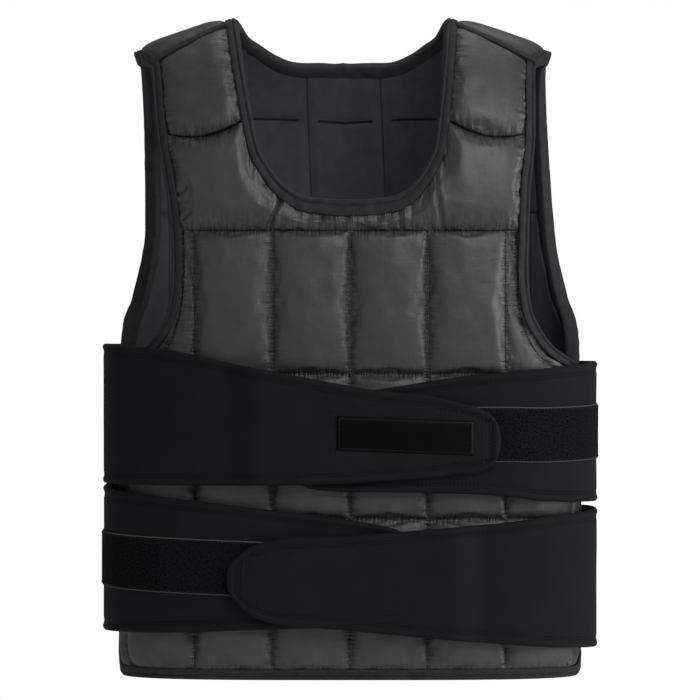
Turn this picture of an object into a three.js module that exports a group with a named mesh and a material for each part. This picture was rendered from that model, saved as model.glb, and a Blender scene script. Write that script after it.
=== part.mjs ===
// Weighted vest as worn: quilted front and back, bound edges and two pairs of wrap-over waist belts.
// Millimetres, +Z up, +X to the right of someone who faces the vest, the chest faces -Y.
// Every piece is drawn flat as cloth, by girth from the centre line and height up the cloth from the
// hem, and is then draped on the form of a torso. The origin is the rest between the two shoulders.
import * as THREE from 'three';
import { mergeVertices } from 'three/addons/utils/BufferGeometryUtils.js';

// Form of the torso under the vest
const torsoHalfWidth = 205;
const torsoHalfDepth = 95;
const torsoSquareness = 3.4;        // exponent of the plan section, 2 is an ellipse
const chestHeight = 406;            // where the form starts to arch over the shoulders
const archLength = 225;             // cloth from the chest to the shoulder ridge
const ridgeAtNeck = 598;
const ridgeAtArm = 563;
const shoulderShift = -8;           // the shoulders hang a little to the left of the waist
const shoulderRestHeight = 570;     // height of the origin above the hem

// Thicknesses, outwards from the face on the wearer's side
const clearance = 0.3;              // between pieces that lie on each other
const sewingGap = 1.3;              // between a padded piece and the tape round it
const liningGap = 2.8;              // between the lining and the padding it backs
const liningSetback = 10;           // from the edge of the padding to the edge of the lower lining
const seamThickness = 6;
const pocketRise = 11;
const yokeRise = 8;
const liningThickness = 2.6;
const bindingWidth = 10;
const bindingCover = 1.5;           // how far the folded tape stands over the seams it closes
const wingThickness = 4.5;
const wingSeat = 0.5;               // room between the fullest pocket and a belt wing
const loopThickness = 1.5;
const hookThickness = 1.2;
const labelThickness = 1.2;

// Pockets
const pocketPitch = 70;
const narrowestPocket = 6;          // beside the arm openings
const rowSeamLow = 145;
const rowSeamHigh = 276;
const backTopSeam = 424;
const pocketsAcross = 8;
const outerPocketShare = 0.28;      // of the cloth outside the last full pocket, beside the edge
const pillow = 0.6;                 // exponent of the puffed profile, lower is fuller
const narrowFullness = 0.8;         // exponent by which a narrower pocket is flatter

// Outline of the front
const frontSideReach = 245;
const frontArmReach = 161;
const frontShoulderReach = 179;
const frontArmBase = 277;
const puffSeamHeight = 484;
const frontNeckBottom = 424;
const hemCornerRadius = 32;

// Outline of the back
const sideOpening = 24.5;           // girth left open between front and back, behind the belts
const backArmReach = 191;
const backShoulderReach = 199;
const backArmBase = 285;
const backNeckBottom = 520;

// Neck and shoulder seams
const neckReach = 96;
const seamDropAtNeck = 31;          // the seams lie this far in front of the ridge
const seamDropAtArm = 60;

// Belt wings: heights at the side of the vest and reach of the tip past the centre line
const wingSeam = 104.5;             // girth from the centre back to the seam that holds a wing
const wingSide = 230;               // girth from the centre front to where a wing comes into view
const upperOver = { hand: -1, tip: 130.5, top: 304, bottom: 176 };
const upperUnder = { hand: 1, tip: 50, top: 288, bottom: 159.5 };
const lowerOver = { hand: 1, tip: 108, top: 153, bottom: 26 };
const lowerUnder = { hand: -1, tip: 60, top: 174.3, bottom: 41.4 };
const beltStep = 14;                // girth between the cross lines of a belt
const tipTurn = 5;                  // last rows of a wing's table, which round its tip
const lapRun = 33;                  // girth in which an over wing climbs on the under wing
const lapRoom = 28;                 // the climb ends this far before the under wing's tip

// Hook, loop and label
const loopWidth = 50;
const loopWrap = 330;               // girth at which the loop strips end behind the side
const loopStart = 24;               // loop strips start this far behind the under wing's tip
const hookLength = 135;
const hookWidth = 47;
const hookInset = 13;               // from the tip of the over wing
const labelLength = 120;
const labelWidth = 31;
const labelCentre = 48;
const labelHeight = 221;
const labelTilt = 0.038;            // fall in height for each millimetre to the right

// Fineness of the faceted shapes
const sectionSteps = 360;           // round half of the plan section
const normalStep = 1.5;             // cloth on each side of a point that its normal is taken from
const lineStep = 2;                 // between drawn points of an edge
const tapeStep = 9;                 // drawn points between the cross lines of an edge tape
const pocketSteps = 4;              // across one pocket
const chestGrid = { columns: 24, rows: 5 };
const shoulderGrid = { columns: 6, rows: 6 };
const yokeGrid = { columns: 24, rows: 9 };
const liningGrid = { columns: 24, rows: 6 };
const shoulderColumns = 5;          // of the chest's and the yoke's columns, on each shoulder
const seamColumns = 6;
const neckStations = 60;
const neckTapeSides = 6;
const weldDistance = 1e-5;

// Tables hold shares of the sizes above.
// Arm openings from the shoulder down: up the opening, out towards the side, out towards the shoulder
const frontArmRows = [
  { up: 0.92, flare: 0, spread: 0.83 },
  { up: 0.70, flare: 0, spread: 0.61 },
  { up: 0.525, flare: 0, spread: 0.17 },
  { up: 0.375, flare: 0, spread: 0 },
  { up: 0.277, flare: 0.005, spread: 0 },
  { up: 0.192, flare: 0.048, spread: 0 },
  { up: 0.134, flare: 0.15, spread: 0 },
  { up: 0.085, flare: 0.29, spread: 0 },
  { up: 0.049, flare: 0.51, spread: 0 },
  { up: 0.025, flare: 0.74, spread: 0 },
  { up: 0, flare: 0.90, spread: 0 },
  { up: -0.04, flare: 0.98, spread: 0 },
  { up: -0.09, flare: 1, spread: 0 },
];
const backArmRows = [
  { up: 0.86, flare: 0, spread: 1 },
  { up: 0.75, flare: 0, spread: 0.25 },
  { up: 0.608, flare: 0, spread: 0 },
  { up: 0.45, flare: 0.015, spread: 0 },
  { up: 0.28, flare: 0.08, spread: 0 },
  { up: 0.168, flare: 0.28, spread: 0 },
  { up: 0.127, flare: 0.45, spread: 0 },
  { up: 0.089, flare: 0.70, spread: 0 },
  { up: 0.051, flare: 0.89, spread: 0 },
  { up: 0, flare: 1, spread: 0 },
];

// Half of the neck opening from its bottom to the ridge: up the opening, out to the neck's reach
const frontNeckRows = [
  { up: 0.005, out: 0.24 },
  { up: 0.02, out: 0.46 },
  { up: 0.058, out: 0.615 },
  { up: 0.126, out: 0.75 },
  { up: 0.203, out: 0.833 },
  { up: 0.425, out: 0.917 },
  { up: 0.66, out: 0.965 },
  { up: 1, out: 1 },
];
const backNeckRows = [
  { up: 0.038, out: 0.21 },
  { up: 0.095, out: 0.46 },
  { up: 0.196, out: 0.635 },
  { up: 0.342, out: 0.78 },
  { up: 0.53, out: 0.906 },
  { up: 1, out: 1 },
];

// Belt wings from the side of the vest to the tip: along that run, fall of the top edge and lift of
// the bottom edge, both shares of the wing's height at the side
const upperOverRows = [
  { along: 0, fall: 0, lift: 0 },
  { along: 0.155, fall: 0.03, lift: 0 },
  { along: 0.244, fall: 0.07, lift: 0 },
  { along: 0.363, fall: 0.15, lift: 0 },
  { along: 0.563, fall: 0.26, lift: 0.01 },
  { along: 0.705, fall: 0.33, lift: 0.03 },
  { along: 0.825, fall: 0.364, lift: 0.055 },
  { along: 0.898, fall: 0.41, lift: 0.08 },
  { along: 0.945, fall: 0.45, lift: 0.095 },
  { along: 0.978, fall: 0.5, lift: 0.135 },
  { along: 0.995, fall: 0.58, lift: 0.215 },
  { along: 1, fall: 0.65, lift: 0.28 },
];
const upperUnderRows = [
  { along: 0, fall: 0, lift: 0 },
  { along: 0.211, fall: 0.05, lift: 0.013 },
  { along: 0.326, fall: 0.078, lift: 0.05 },
  { along: 0.461, fall: 0.105, lift: 0.07 },
  { along: 0.679, fall: 0.18, lift: 0.08 },
  { along: 0.821, fall: 0.225, lift: 0.083 },
  { along: 0.929, fall: 0.28, lift: 0.1 },
  { along: 0.979, fall: 0.35, lift: 0.145 },
  { along: 1, fall: 0.47, lift: 0.28 },
];
const lowerOverRows = [
  { along: 0, fall: 0, lift: 0 },
  { along: 0.145, fall: 0.035, lift: 0.022 },
  { along: 0.266, fall: 0.079, lift: 0.05 },
  { along: 0.382, fall: 0.106, lift: 0.079 },
  { along: 0.68, fall: 0.17, lift: 0.157 },
  { along: 0.84, fall: 0.184, lift: 0.192 },
  { along: 0.899, fall: 0.213, lift: 0.22 },
  { along: 0.941, fall: 0.248, lift: 0.27 },
  { along: 0.965, fall: 0.3, lift: 0.32 },
  { along: 0.994, fall: 0.375, lift: 0.42 },
  { along: 1, fall: 0.43, lift: 0.48 },
];
const lowerUnderRows = [
  { along: 0, fall: 0, lift: 0 },
  { along: 0.129, fall: 0.04, lift: 0.007 },
  { along: 0.303, fall: 0.085, lift: 0.017 },
  { along: 0.552, fall: 0.153, lift: 0.04 },
  { along: 0.793, fall: 0.22, lift: 0.057 },
  { along: 0.931, fall: 0.28, lift: 0.1 },
  { along: 0.979, fall: 0.356, lift: 0.185 },
  { along: 1, fall: 0.484, lift: 0.35 },
];

// Cross lines of the three pocket rows, closer where the hem corner and the arm opening turn
const rowShares = [
  [0.045, 0.16, 0.40, 0.70, 1],
  [0.25, 0.5, 0.75, 1],
  [0.06, 0.13, 0.25, 0.44, 0.70, 1],
];

const FRONT = -1;
const BACK = 1;
const ridgeCloth = chestHeight + archLength;
const panelInset = bindingWidth + sewingGap;
const liningInner = -liningGap - liningThickness;
const bindingOuter = seamThickness + bindingCover;
const { lerp, clamp, smoothstep } = THREE.MathUtils;

const finishes = {
  nylon: { color: 0x454446, roughness: 0.62, metalness: 0 },
  lining: { color: 0x2a2c2e, roughness: 0.9, metalness: 0 },
  tape: { color: 0x343537, roughness: 0.7, metalness: 0 },
  foam: { color: 0x1b1e21, roughness: 0.85, metalness: 0 },
  loop: { color: 0x0c0d0f, roughness: 0.95, metalness: 0 },
  satin: { color: 0x151517, roughness: 0.35, metalness: 0 },
};

// Plan section of the form, walked by arc length from the centre front to the centre back
function walkSection() {
  const walked = [{ girth: 0, x: 0, y: -torsoHalfDepth }];
  for (let i = 1; i <= sectionSteps; i++) {
    const angle = Math.PI * i / sectionSteps;
    const power = 2 / torsoSquareness;
    const x = torsoHalfWidth * Math.sin(angle) ** power;
    const y = -torsoHalfDepth * Math.sign(Math.cos(angle)) * Math.abs(Math.cos(angle)) ** power;
    const last = walked[i - 1];
    walked.push({ girth: last.girth + Math.hypot(x - last.x, y - last.y), x, y });
  }
  return walked;
}
const section = walkSection();
const halfGirth = section[section.length - 1].girth;
const backSideReach = halfGirth - frontSideReach - sideOpening;
const wingRoot = halfGirth - wingSeam;

function sectionPoint(girth) {
  let high = section.findIndex((point) => point.girth >= girth);
  if (high < 0) high = section.length - 1;
  const low = Math.max(0, high - 1);
  const span = section[high].girth - section[low].girth || 1;
  const share = clamp((girth - section[low].girth) / span, 0, 1);
  return [lerp(section[low].x, section[high].x, share), lerp(section[low].y, section[high].y, share)];
}

// A point of the form for a point of the front or back cloth
function onForm(face, girth, height) {
  const [reach, depth] = sectionPoint(Math.abs(girth));
  let x = Math.sign(girth) * reach;
  let y = depth;
  let z = height;
  if (height > chestHeight) {
    const swing = (height - chestHeight) / archLength * Math.PI / 2;
    const slope = (ridgeAtArm - ridgeAtNeck) / (backShoulderReach - neckReach);
    const ridge = ridgeAtNeck + slope * (reach - neckReach);
    z = chestHeight + (ridge - chestHeight) * Math.sin(swing);
    y = depth * Math.cos(swing);
  }
  const sway = shoulderShift * clamp((z - chestHeight) / (ridgeAtNeck - chestHeight), 0, 1);
  return new THREE.Vector3(-face * x + sway, -face * y, z);
}

// The same point moved out along the surface normal
function drape(face, girth, height, out) {
  const along = onForm(face, girth + normalStep, height).sub(onForm(face, girth - normalStep, height));
  const up = onForm(face, girth, height + normalStep).sub(onForm(face, girth, height - normalStep));
  return onForm(face, girth, height).addScaledVector(along.cross(up).normalize(), out);
}

function solid(name, geometry, finish, place) {
  geometry.deleteAttribute('normal');
  geometry.deleteAttribute('uv');
  const merged = mergeVertices(geometry, weldDistance);
  const position = merged.attributes.position;
  const point = new THREE.Vector3();
  for (let i = 0; i < position.count; i++) {
    point.fromBufferAttribute(position, i);
    position.setXYZ(i, ...place(point).toArray());
  }
  merged.computeVertexNormals();
  const mesh = new THREE.Mesh(merged, new THREE.MeshStandardMaterial(finishes[finish]));
  mesh.name = name;
  return mesh;
}

// A closed slab over a grid: at(u, v, outer) gives the place of each grid point on its two faces
function slab(name, columns, rows, finish, at) {
  const box = new THREE.BoxGeometry(1, 1, 1, columns, rows, 1);
  return solid(name, box, finish, (point) => at(point.x + 0.5, point.y + 0.5, point.z > 0));
}

// Smooth value of one column of a table at a place given in another
function readTable(rows, key, place, column) {
  let high = rows.findIndex((row) => row[key] >= place);
  if (high < 1) high = high < 0 ? rows.length - 1 : 1;
  const low = high - 1;
  const before = rows[Math.max(0, low - 1)];
  const after = rows[Math.min(rows.length - 1, high + 1)];
  const span = rows[high][key] - rows[low][key];
  const share = clamp((place - rows[low][key]) / span, 0, 1);
  const slopeLow = (rows[high][column] - before[column]) / (rows[high][key] - before[key]) * span;
  const slopeHigh = (after[column] - rows[low][column]) / (after[key] - rows[low][key]) * span;
  const curved = share * share * (3 - 2 * share);
  const rising = share * (1 - share) ** 2 * slopeLow;
  const settling = share * share * (share - 1) * slopeHigh;
  return lerp(rows[low][column], rows[high][column], curved) + rising + settling;
}

function spaced(path, step) {
  return path.getSpacedPoints(Math.round(path.getLength() / step));
}

// A line moved sideways: a positive distance moves it to the left of its direction
function offsetLine(line, distance) {
  return line.map((point, i) => {
    const before = line[Math.max(0, i - 1)];
    const after = line[Math.min(line.length - 1, i + 1)];
    const heading = after.clone().sub(before).normalize();
    return new THREE.Vector2(point.x - heading.y * distance, point.y + heading.x * distance);
  });
}

// A point at a share of a line's length
function lineFunction(line) {
  const lengths = [0];
  for (let i = 1; i < line.length; i++) lengths.push(lengths[i - 1] + line[i].distanceTo(line[i - 1]));
  const total = lengths[lengths.length - 1];
  return (share) => {
    const target = clamp(share, 0, 1) * total;
    let high = lengths.findIndex((length) => length >= target);
    if (high < 1) high = high < 0 ? line.length - 1 : 1;
    const part = (target - lengths[high - 1]) / (lengths[high] - lengths[high - 1]);
    return line[high - 1].clone().lerp(line[high], part);
  };
}

// The reach of a falling line at a height
function reachAt(line, height) {
  for (let i = 1; i < line.length; i++) {
    const [above, below] = [line[i - 1], line[i]];
    if (height <= above.y && height >= below.y && above.y > below.y) {
      return lerp(above.x, below.x, (above.y - height) / (above.y - below.y));
    }
  }
  return height > line[0].y ? line[0].x : line[line.length - 1].x;
}

// Free edge of one cloth on its left side: shoulder seam, arm opening, side and half of the hem
function edgePath(shoulder, rows, base, armReach, shoulderReach, sideReach) {
  const span = shoulder.y - base;
  const points = rows.map((row) => new THREE.Vector2(
    -(armReach + row.flare * (sideReach - armReach) + row.spread * (shoulderReach - armReach)),
    base + row.up * span,
  ));
  const path = new THREE.Path();
  path.moveTo(shoulder.x, shoulder.y);
  path.splineThru(points);
  path.lineTo(-sideReach, hemCornerRadius);
  const corner = sideReach - hemCornerRadius;
  path.absarc(-corner, hemCornerRadius, hemCornerRadius, Math.PI, 1.5 * Math.PI, false);
  path.lineTo(0, 0);
  return path;
}

// Free edge of a whole neckline, from the left ridge through the bottom to the right ridge
function neckPath(rows, bottom) {
  const half = rows.map((row) => new THREE.Vector2(
    row.out * neckReach, bottom + row.up * (ridgeCloth - bottom)));
  const left = half.map((point) => new THREE.Vector2(-point.x, point.y)).reverse();
  return new THREE.SplineCurve([...left, new THREE.Vector2(0, bottom), ...half]);
}

const mirrored = (line) => line.map((point) => new THREE.Vector2(-point.x, point.y));
const cornerLeft = new THREE.Vector2(-frontShoulderReach, ridgeCloth - seamDropAtArm);
const backCorner = new THREE.Vector2(-frontShoulderReach, ridgeCloth + seamDropAtArm);
const frontEdge = spaced(
  edgePath(cornerLeft, frontArmRows, frontArmBase, frontArmReach, frontShoulderReach, frontSideReach), lineStep);
const backEdge = spaced(
  edgePath(backCorner, backArmRows, backArmBase, backArmReach, backShoulderReach, backSideReach), lineStep);
const frontNeck = spaced(neckPath(frontNeckRows, frontNeckBottom), lineStep);
const backNeck = spaced(neckPath(backNeckRows, backNeckBottom), lineStep);
const frontArmLine = offsetLine(frontEdge, panelInset);
const backArmLine = offsetLine(backEdge, panelInset);
const frontNeckLine = offsetLine(frontNeck, -panelInset);
const backNeckLine = offsetLine(backNeck, -panelInset);

// Puffed profile across a pocket, 0 on its seams and 1 in its middle
function puff(share) {
  return Math.sin(Math.PI * clamp(share, 0, 1)) ** pillow;
}

// Cross lines of a pocket panel: height, row and share of the row, at points of its arm line
function crossLines(armLine, seams) {
  const lines = [{ height: seams[0], row: 0, share: 0 }];
  rowShares.forEach((shares, row) => shares.forEach((share) => {
    const target = lerp(seams[row], seams[row + 1], share);
    const near = armLine.reduce((best, point) => (
      Math.abs(point.y - target) < Math.abs(best.y - target) ? point : best));
    const height = share === 1 ? target : near.y;
    lines.push({ height, row, share: (height - seams[row]) / (seams[row + 1] - seams[row]) });
  }));
  return lines;
}

// The pocket panel of one cloth: the seam lines across it and up it are lines of its grid
function pocketPanel(name, face, armLine, seams) {
  const seamLines = (height) => {
    const edge = -reachAt(armLine, height);
    const last = Math.min(2 * pocketPitch, edge - narrowestPocket);
    const outer = Math.min(3 * pocketPitch, edge - outerPocketShare * (edge - last));
    return [-edge, -outer, -last, -pocketPitch, 0, pocketPitch, last, outer, edge];
  };
  const cross = crossLines(armLine, seams);
  const rows = cross.length - 1;
  return slab(name, pocketsAcross * pocketSteps, rows, 'nylon', (u, v, outer) => {
    const { height, share } = cross[Math.round(v * rows)];
    const lines = seamLines(height);
    const pocket = Math.min(Math.floor(u * pocketsAcross + 1e-6), pocketsAcross - 1);
    const pocketShare = u * pocketsAcross - pocket;
    const width = lines[pocket + 1] - lines[pocket];
    const girth = lines[pocket] + width * pocketShare;
    const fullness = Math.min(1, width / pocketPitch) ** narrowFullness;
    const rise = pocketRise * fullness * puff(pocketShare) * puff(share);
    return drape(face, girth, height, outer ? seamThickness + rise : 0);
  });
}

// A padded piece between four edges, each a function of a share along it
function paddedPiece(name, face, grid, edges, inner, thickness, rise, finish) {
  const { bottom, top, left, right } = edges;
  const corners = [bottom(0), bottom(1), top(0), top(1)];
  return slab(name, grid.columns, grid.rows, finish, (u, v, outer) => {
    const flat = bottom(u).multiplyScalar(1 - v).addScaledVector(top(u), v)
      .addScaledVector(left(v), 1 - u).addScaledVector(right(v), u)
      .addScaledVector(corners[0], -(1 - u) * (1 - v)).addScaledVector(corners[1], -u * (1 - v))
      .addScaledVector(corners[2], -(1 - u) * v).addScaledVector(corners[3], -u * v);
    const out = outer ? inner + thickness + rise * puff(u) * puff(v) : inner;
    return drape(face, flat.x, flat.y, out);
  });
}

function straight(from, to) {
  return (share) => from.clone().lerp(to, share);
}

// The part of a falling line between two heights, as a rising edge
function edgeBetween(line, low, high) {
  const inside = line.filter((point) => point.y > low && point.y < high);
  const ends = [high, low].map((height) => new THREE.Vector2(reachAt(line, height), height));
  return lineFunction([ends[0], ...inside, ends[1]].reverse());
}

// Top edge with a corner on each side: a straight shoulder, the neckline, a straight shoulder
const shoulderShare = shoulderColumns / yokeGrid.columns;
function corneredTop(corner, neckLine) {
  const neck = lineFunction(neckLine);
  const shoulder = straight(corner, neckLine[0]);
  const flip = new THREE.Vector2(-1, 1);
  return (share) => {
    if (share < shoulderShare) return shoulder(share / shoulderShare);
    if (share > 1 - shoulderShare) return shoulder((1 - share) / shoulderShare).multiply(flip);
    return neck((share - shoulderShare) / (1 - 2 * shoulderShare));
  };
}

function fallingHalf(neckLine) {
  return neckLine.slice(0, Math.ceil(neckLine.length / 2));
}

// The part of a neckline below a height, from its left to its right
function neckBelow(neckLine, height) {
  const half = fallingHalf(neckLine).filter((point) => point.y < height && point.x < 0);
  const start = new THREE.Vector2(reachAt(fallingHalf(neckLine), height), height);
  const left = [start, ...half];
  return [...left, ...mirrored(left).reverse()];
}

function frontChest() {
  const low = chestHeight + clearance;
  const high = puffSeamHeight - clearance;
  const left = edgeBetween(frontArmLine, low, high);
  const right = edgeBetween(mirrored(frontArmLine), low, high);
  const top = corneredTop(left(1), neckBelow(frontNeckLine, high));
  const edges = { bottom: straight(left(0), right(0)), top, left, right };
  return paddedPiece('front_chest', FRONT, chestGrid, edges, 0, seamThickness, yokeRise, 'nylon');
}

function frontShoulder(name, side) {
  const low = puffSeamHeight + clearance;
  const armTop = ridgeCloth - seamDropAtArm - seamAllowance();
  const neckTop = ridgeCloth - seamDropAtNeck - seamAllowance();
  const arm = edgeBetween(frontArmLine, low, armTop);
  const neck = edgeBetween(fallingHalf(frontNeckLine), low, neckTop);
  const flip = (edge) => (share) => edge(share).multiply(new THREE.Vector2(-1, 1));
  const [left, right] = side < 0 ? [arm, neck] : [flip(neck), flip(arm)];
  const edges = { bottom: straight(left(0), right(0)), top: straight(left(1), right(1)), left, right };
  return paddedPiece(name, FRONT, shoulderGrid, edges, 0, seamThickness, yokeRise, 'nylon');
}

// Cloth left free on each side of a shoulder seam for the tape that covers it
function seamAllowance() {
  return bindingWidth / 2 + clearance;
}

// Upper back from the top seam over the shoulders to the front seams
function upperBack(name, inner, thickness, rise, finish) {
  const low = backTopSeam + clearance;
  const high = ridgeCloth + seamDropAtArm - seamAllowance();
  const left = edgeBetween(backArmLine, low, high);
  const right = edgeBetween(mirrored(backArmLine), low, high);
  const reach = fallingHalf(backNeckLine)[0].x;
  const over = new THREE.Vector2(reach, ridgeCloth + seamDropAtNeck - seamAllowance());
  const half = [over, ...fallingHalf(backNeckLine).filter((point) => point.x < 0)];
  const top = corneredTop(left(1), [...half, ...mirrored(half).reverse()]);
  const edges = { bottom: straight(left(0), right(0)), top, left, right };
  return paddedPiece(name, BACK, yokeGrid, edges, inner, thickness, rise, finish);
}

// Lining behind the pocket panel, held back from the tape all round
function lowerLining() {
  const line = offsetLine(backEdge, panelInset + liningSetback);
  const left = edgeBetween(line, panelInset + liningSetback, backTopSeam - clearance);
  const right = edgeBetween(mirrored(line), panelInset + liningSetback, backTopSeam - clearance);
  const edges = { bottom: straight(left(0), right(0)), top: straight(left(1), right(1)), left, right };
  return paddedPiece('back_lining_lower', BACK, liningGrid, edges, liningInner, liningThickness, 0, 'lining');
}

// Points of a free edge that its tape bends at: those beside the panel's cross lines, all round the
// hem corner, and a coarse run elsewhere
function tapeStations(halfLine, armLine, seams) {
  const heights = crossLines(armLine, seams).map((line) => line.height);
  const away = (height) => (index) => Math.abs(armLine[index].y - height);
  const indices = halfLine.map((_, index) => index);
  const beside = heights.slice(1).map((height) => indices.reduce((best, index) => (
    away(height)(index) < away(height)(best) ? index : best)));
  const last = halfLine.length - 1;
  return indices.filter((index) => {
    const onHem = armLine[index].y < seams[0] + hemCornerRadius;
    const onArm = armLine[index].y > seams[seams.length - 1] + lineStep;
    return beside.includes(index) || index === last || ((onHem || onArm) && index % tapeStep === 0);
  });
}

// Folded tape along a free edge that has two ends
function openBinding(name, face, halfLine, armLine, seams) {
  const half = tapeStations(halfLine, armLine, seams);
  const sewnLine = offsetLine(halfLine, bindingWidth);
  const flatPoint = (index, line) => line[half[index]].clone();
  const count = 2 * (half.length - 1);
  return slab(name, count, 1, 'tape', (u, v, outer) => {
    const station = Math.round(u * count);
    const index = Math.min(station, count - station);
    const flat = flatPoint(index, halfLine).lerp(flatPoint(index, sewnLine), v);
    const girth = station > index ? -flat.x : flat.x;
    return drape(face, girth, flat.y, outer ? bindingOuter : liningInner);
  });
}

// Folded tape round the neck: the front neckline, then the back one
function neckBinding() {
  const lines = [frontNeck, backNeck].map((line) => ({
    free: lineFunction(line), sewn: lineFunction(offsetLine(line, -bindingWidth)),
  }));
  const ringRadius = 2;
  const ring = new THREE.TorusGeometry(ringRadius, 1, neckTapeSides, neckStations);
  const middle = (liningInner + bindingOuter) / 2;
  const halfThickness = (bindingOuter - liningInner) / 2;
  return solid('neck_binding', ring, 'tape', (point) => {
    const turn = (Math.atan2(point.y, point.x) / (2 * Math.PI) + 1) % 1;
    const tube = Math.atan2(point.z, Math.hypot(point.x, point.y) - ringRadius);
    const place = Math.round(turn * neckStations) / neckStations * 2 % 2;
    const onBack = place >= 1;
    const { free, sewn } = lines[onBack ? 1 : 0];
    const share = place - (onBack ? 1 : 0);
    const flat = free(share).lerp(sewn(share), 0.5 + 0.5 * Math.cos(tube));
    return drape(onBack ? BACK : FRONT, flat.x, flat.y, middle + halfThickness * Math.sin(tube));
  });
}

// Tape over a shoulder seam, between the neck binding and the arm edge
function shoulderSeam(name, side) {
  const lowered = new THREE.Vector2(reachAt(frontArmLine, cornerLeft.y) - clearance, cornerLeft.y);
  const neckHeight = ridgeCloth - seamDropAtNeck;
  const neckEnd = new THREE.Vector2(reachAt(fallingHalf(frontNeckLine), neckHeight), neckHeight);
  const ends = side < 0 ? [lowered, neckEnd] : mirrored([neckEnd, lowered]);
  const centre = straight(...ends);
  return slab(name, seamColumns, 1, 'tape', (u, v, outer) => {
    const flat = centre(u);
    return drape(FRONT, flat.x, flat.y + (v - 0.5) * bindingWidth, outer ? bindingOuter : 0);
  });
}

// Outward heights of the layers on the belts
const wingInner = seamThickness + pocketRise + wingSeat;
const loopInner = wingInner + wingThickness + clearance;
const hookInner = loopInner + loopThickness + clearance;
const overInner = hookInner + hookThickness + clearance;
const labelInner = overInner + wingThickness + clearance;

// Top and bottom of a wing at a reach past the centre line, towards its tip
function wingEdges(wing, rows, reach) {
  const along = Math.max(0, (reach + wingSide) / (wing.tip + wingSide));
  const height = wing.top - wing.bottom;
  return {
    top: wing.top - height * readTable(rows, 'along', along, 'fall'),
    bottom: wing.bottom + height * readTable(rows, 'along', along, 'lift'),
  };
}

// Places along a belt piece: common cross lines, so that layers stay parallel, and some of its own
function beltStations(from, to, own) {
  const stations = [from, to, ...own];
  for (let k = Math.ceil(from / beltStep); k * beltStep < to; k++) {
    const near = stations.some((place) => Math.abs(place - k * beltStep) < beltStep / 3);
    if (!near) stations.push(k * beltStep);
  }
  return stations.sort((a, b) => a - b);
}

// A layer of a belt between two reaches: edges(reach) gives its top and bottom, lift(reach) its height
function beltLayer(name, wing, from, to, own, finish, edges, lift, thickness) {
  const stations = beltStations(from, to, own);
  const count = stations.length - 1;
  return slab(name, count, 1, finish, (u, v, outer) => {
    const index = Math.round(u * count);
    const reach = stations[wing.hand < 0 ? index : count - index];
    const { top, bottom } = edges(reach);
    const height = lerp(bottom, top, v);
    return drape(FRONT, -wing.hand * reach, height, lift(reach) + (outer ? thickness : 0));
  });
}

function beltWing(name, wing, rows, lift) {
  const tipRows = rows.slice(-tipTurn, -1);
  const rounded = tipRows.map((row) => lerp(-wingSide, wing.tip, row.along));
  const edges = (reach) => wingEdges(wing, rows, reach);
  return beltLayer(name, wing, -wingRoot, wing.tip, rounded, 'foam', edges, lift, wingThickness);
}

// An over wing lies on the pockets, then climbs on the under wing that comes from the other side
function overLift(under) {
  const climbEnd = -under.tip - lapRoom;
  return (reach) => lerp(wingInner, overInner, smoothstep(reach, climbEnd - lapRun, climbEnd));
}

function midLine(wing, rows, width) {
  return (reach) => {
    const { top, bottom } = wingEdges(wing, rows, reach);
    const middle = (top + bottom) / 2;
    return { top: middle + width / 2, bottom: middle - width / 2 };
  };
}

function loopStrip(name, wing, rows) {
  const edges = midLine(wing, rows, loopWidth);
  const to = wing.tip - loopStart;
  return beltLayer(name, wing, -loopWrap, to, [], 'loop', edges, () => loopInner, loopThickness);
}

function hookPatch(name, wing, rows) {
  const edges = midLine(wing, rows, hookWidth);
  const to = wing.tip - hookInset;
  return beltLayer(name, wing, to - hookLength, to, [], 'loop', edges, () => hookInner, hookThickness);
}

function labelPatch() {
  const edges = (reach) => {
    const middle = labelHeight - labelTilt * (reach - labelCentre);
    return { top: middle + labelWidth / 2, bottom: middle - labelWidth / 2 };
  };
  const from = labelCentre - labelLength / 2;
  const to = labelCentre + labelLength / 2;
  return beltLayer('label_patch', upperOver, from, to, [], 'satin', edges, () => labelInner, labelThickness);
}

const vest = new THREE.Group();
vest.position.z = -shoulderRestHeight;
const frontSeams = [panelInset, rowSeamLow, rowSeamHigh, chestHeight - clearance];
const backSeams = [panelInset, rowSeamLow, rowSeamHigh, backTopSeam - clearance];
vest.add(
  pocketPanel('front_panel', FRONT, frontArmLine, frontSeams),
  frontChest(),
  frontShoulder('front_shoulder_left', -1),
  frontShoulder('front_shoulder_right', 1),
  pocketPanel('back_panel', BACK, backArmLine, backSeams),
  upperBack('back_yoke', 0, seamThickness, yokeRise, 'nylon'),
  upperBack('back_lining_upper', liningInner, liningThickness, 0, 'lining'),
  lowerLining(),
  neckBinding(),
  openBinding('front_edge_binding', FRONT, frontEdge, frontArmLine, frontSeams),
  openBinding('back_edge_binding', BACK, backEdge, backArmLine, backSeams),
  shoulderSeam('shoulder_seam_left', -1),
  shoulderSeam('shoulder_seam_right', 1),
  beltWing('upper_under_wing', upperUnder, upperUnderRows, () => wingInner),
  beltWing('lower_under_wing', lowerUnder, lowerUnderRows, () => wingInner),
  beltWing('upper_over_wing', upperOver, upperOverRows, overLift(upperUnder)),
  beltWing('lower_over_wing', lowerOver, lowerOverRows, overLift(lowerUnder)),
  loopStrip('upper_loop_strip', upperUnder, upperUnderRows),
  loopStrip('lower_loop_strip', lowerUnder, lowerUnderRows),
  hookPatch('upper_hook_patch', upperOver, upperOverRows),
  hookPatch('lower_hook_patch', lowerOver, lowerOverRows),
  labelPatch(),
);

export default vest;
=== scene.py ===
"""Weighted vest, dressed for its picture: quilted nylon, bound edges, foam belts, stitching and studio.

Cloth is drawn flat in millimetres, as girth from the centre line and height up the cloth from the hem,
and is laid on the form of a torso. Points in space are in metres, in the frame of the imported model.
"""

from __future__ import annotations

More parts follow.
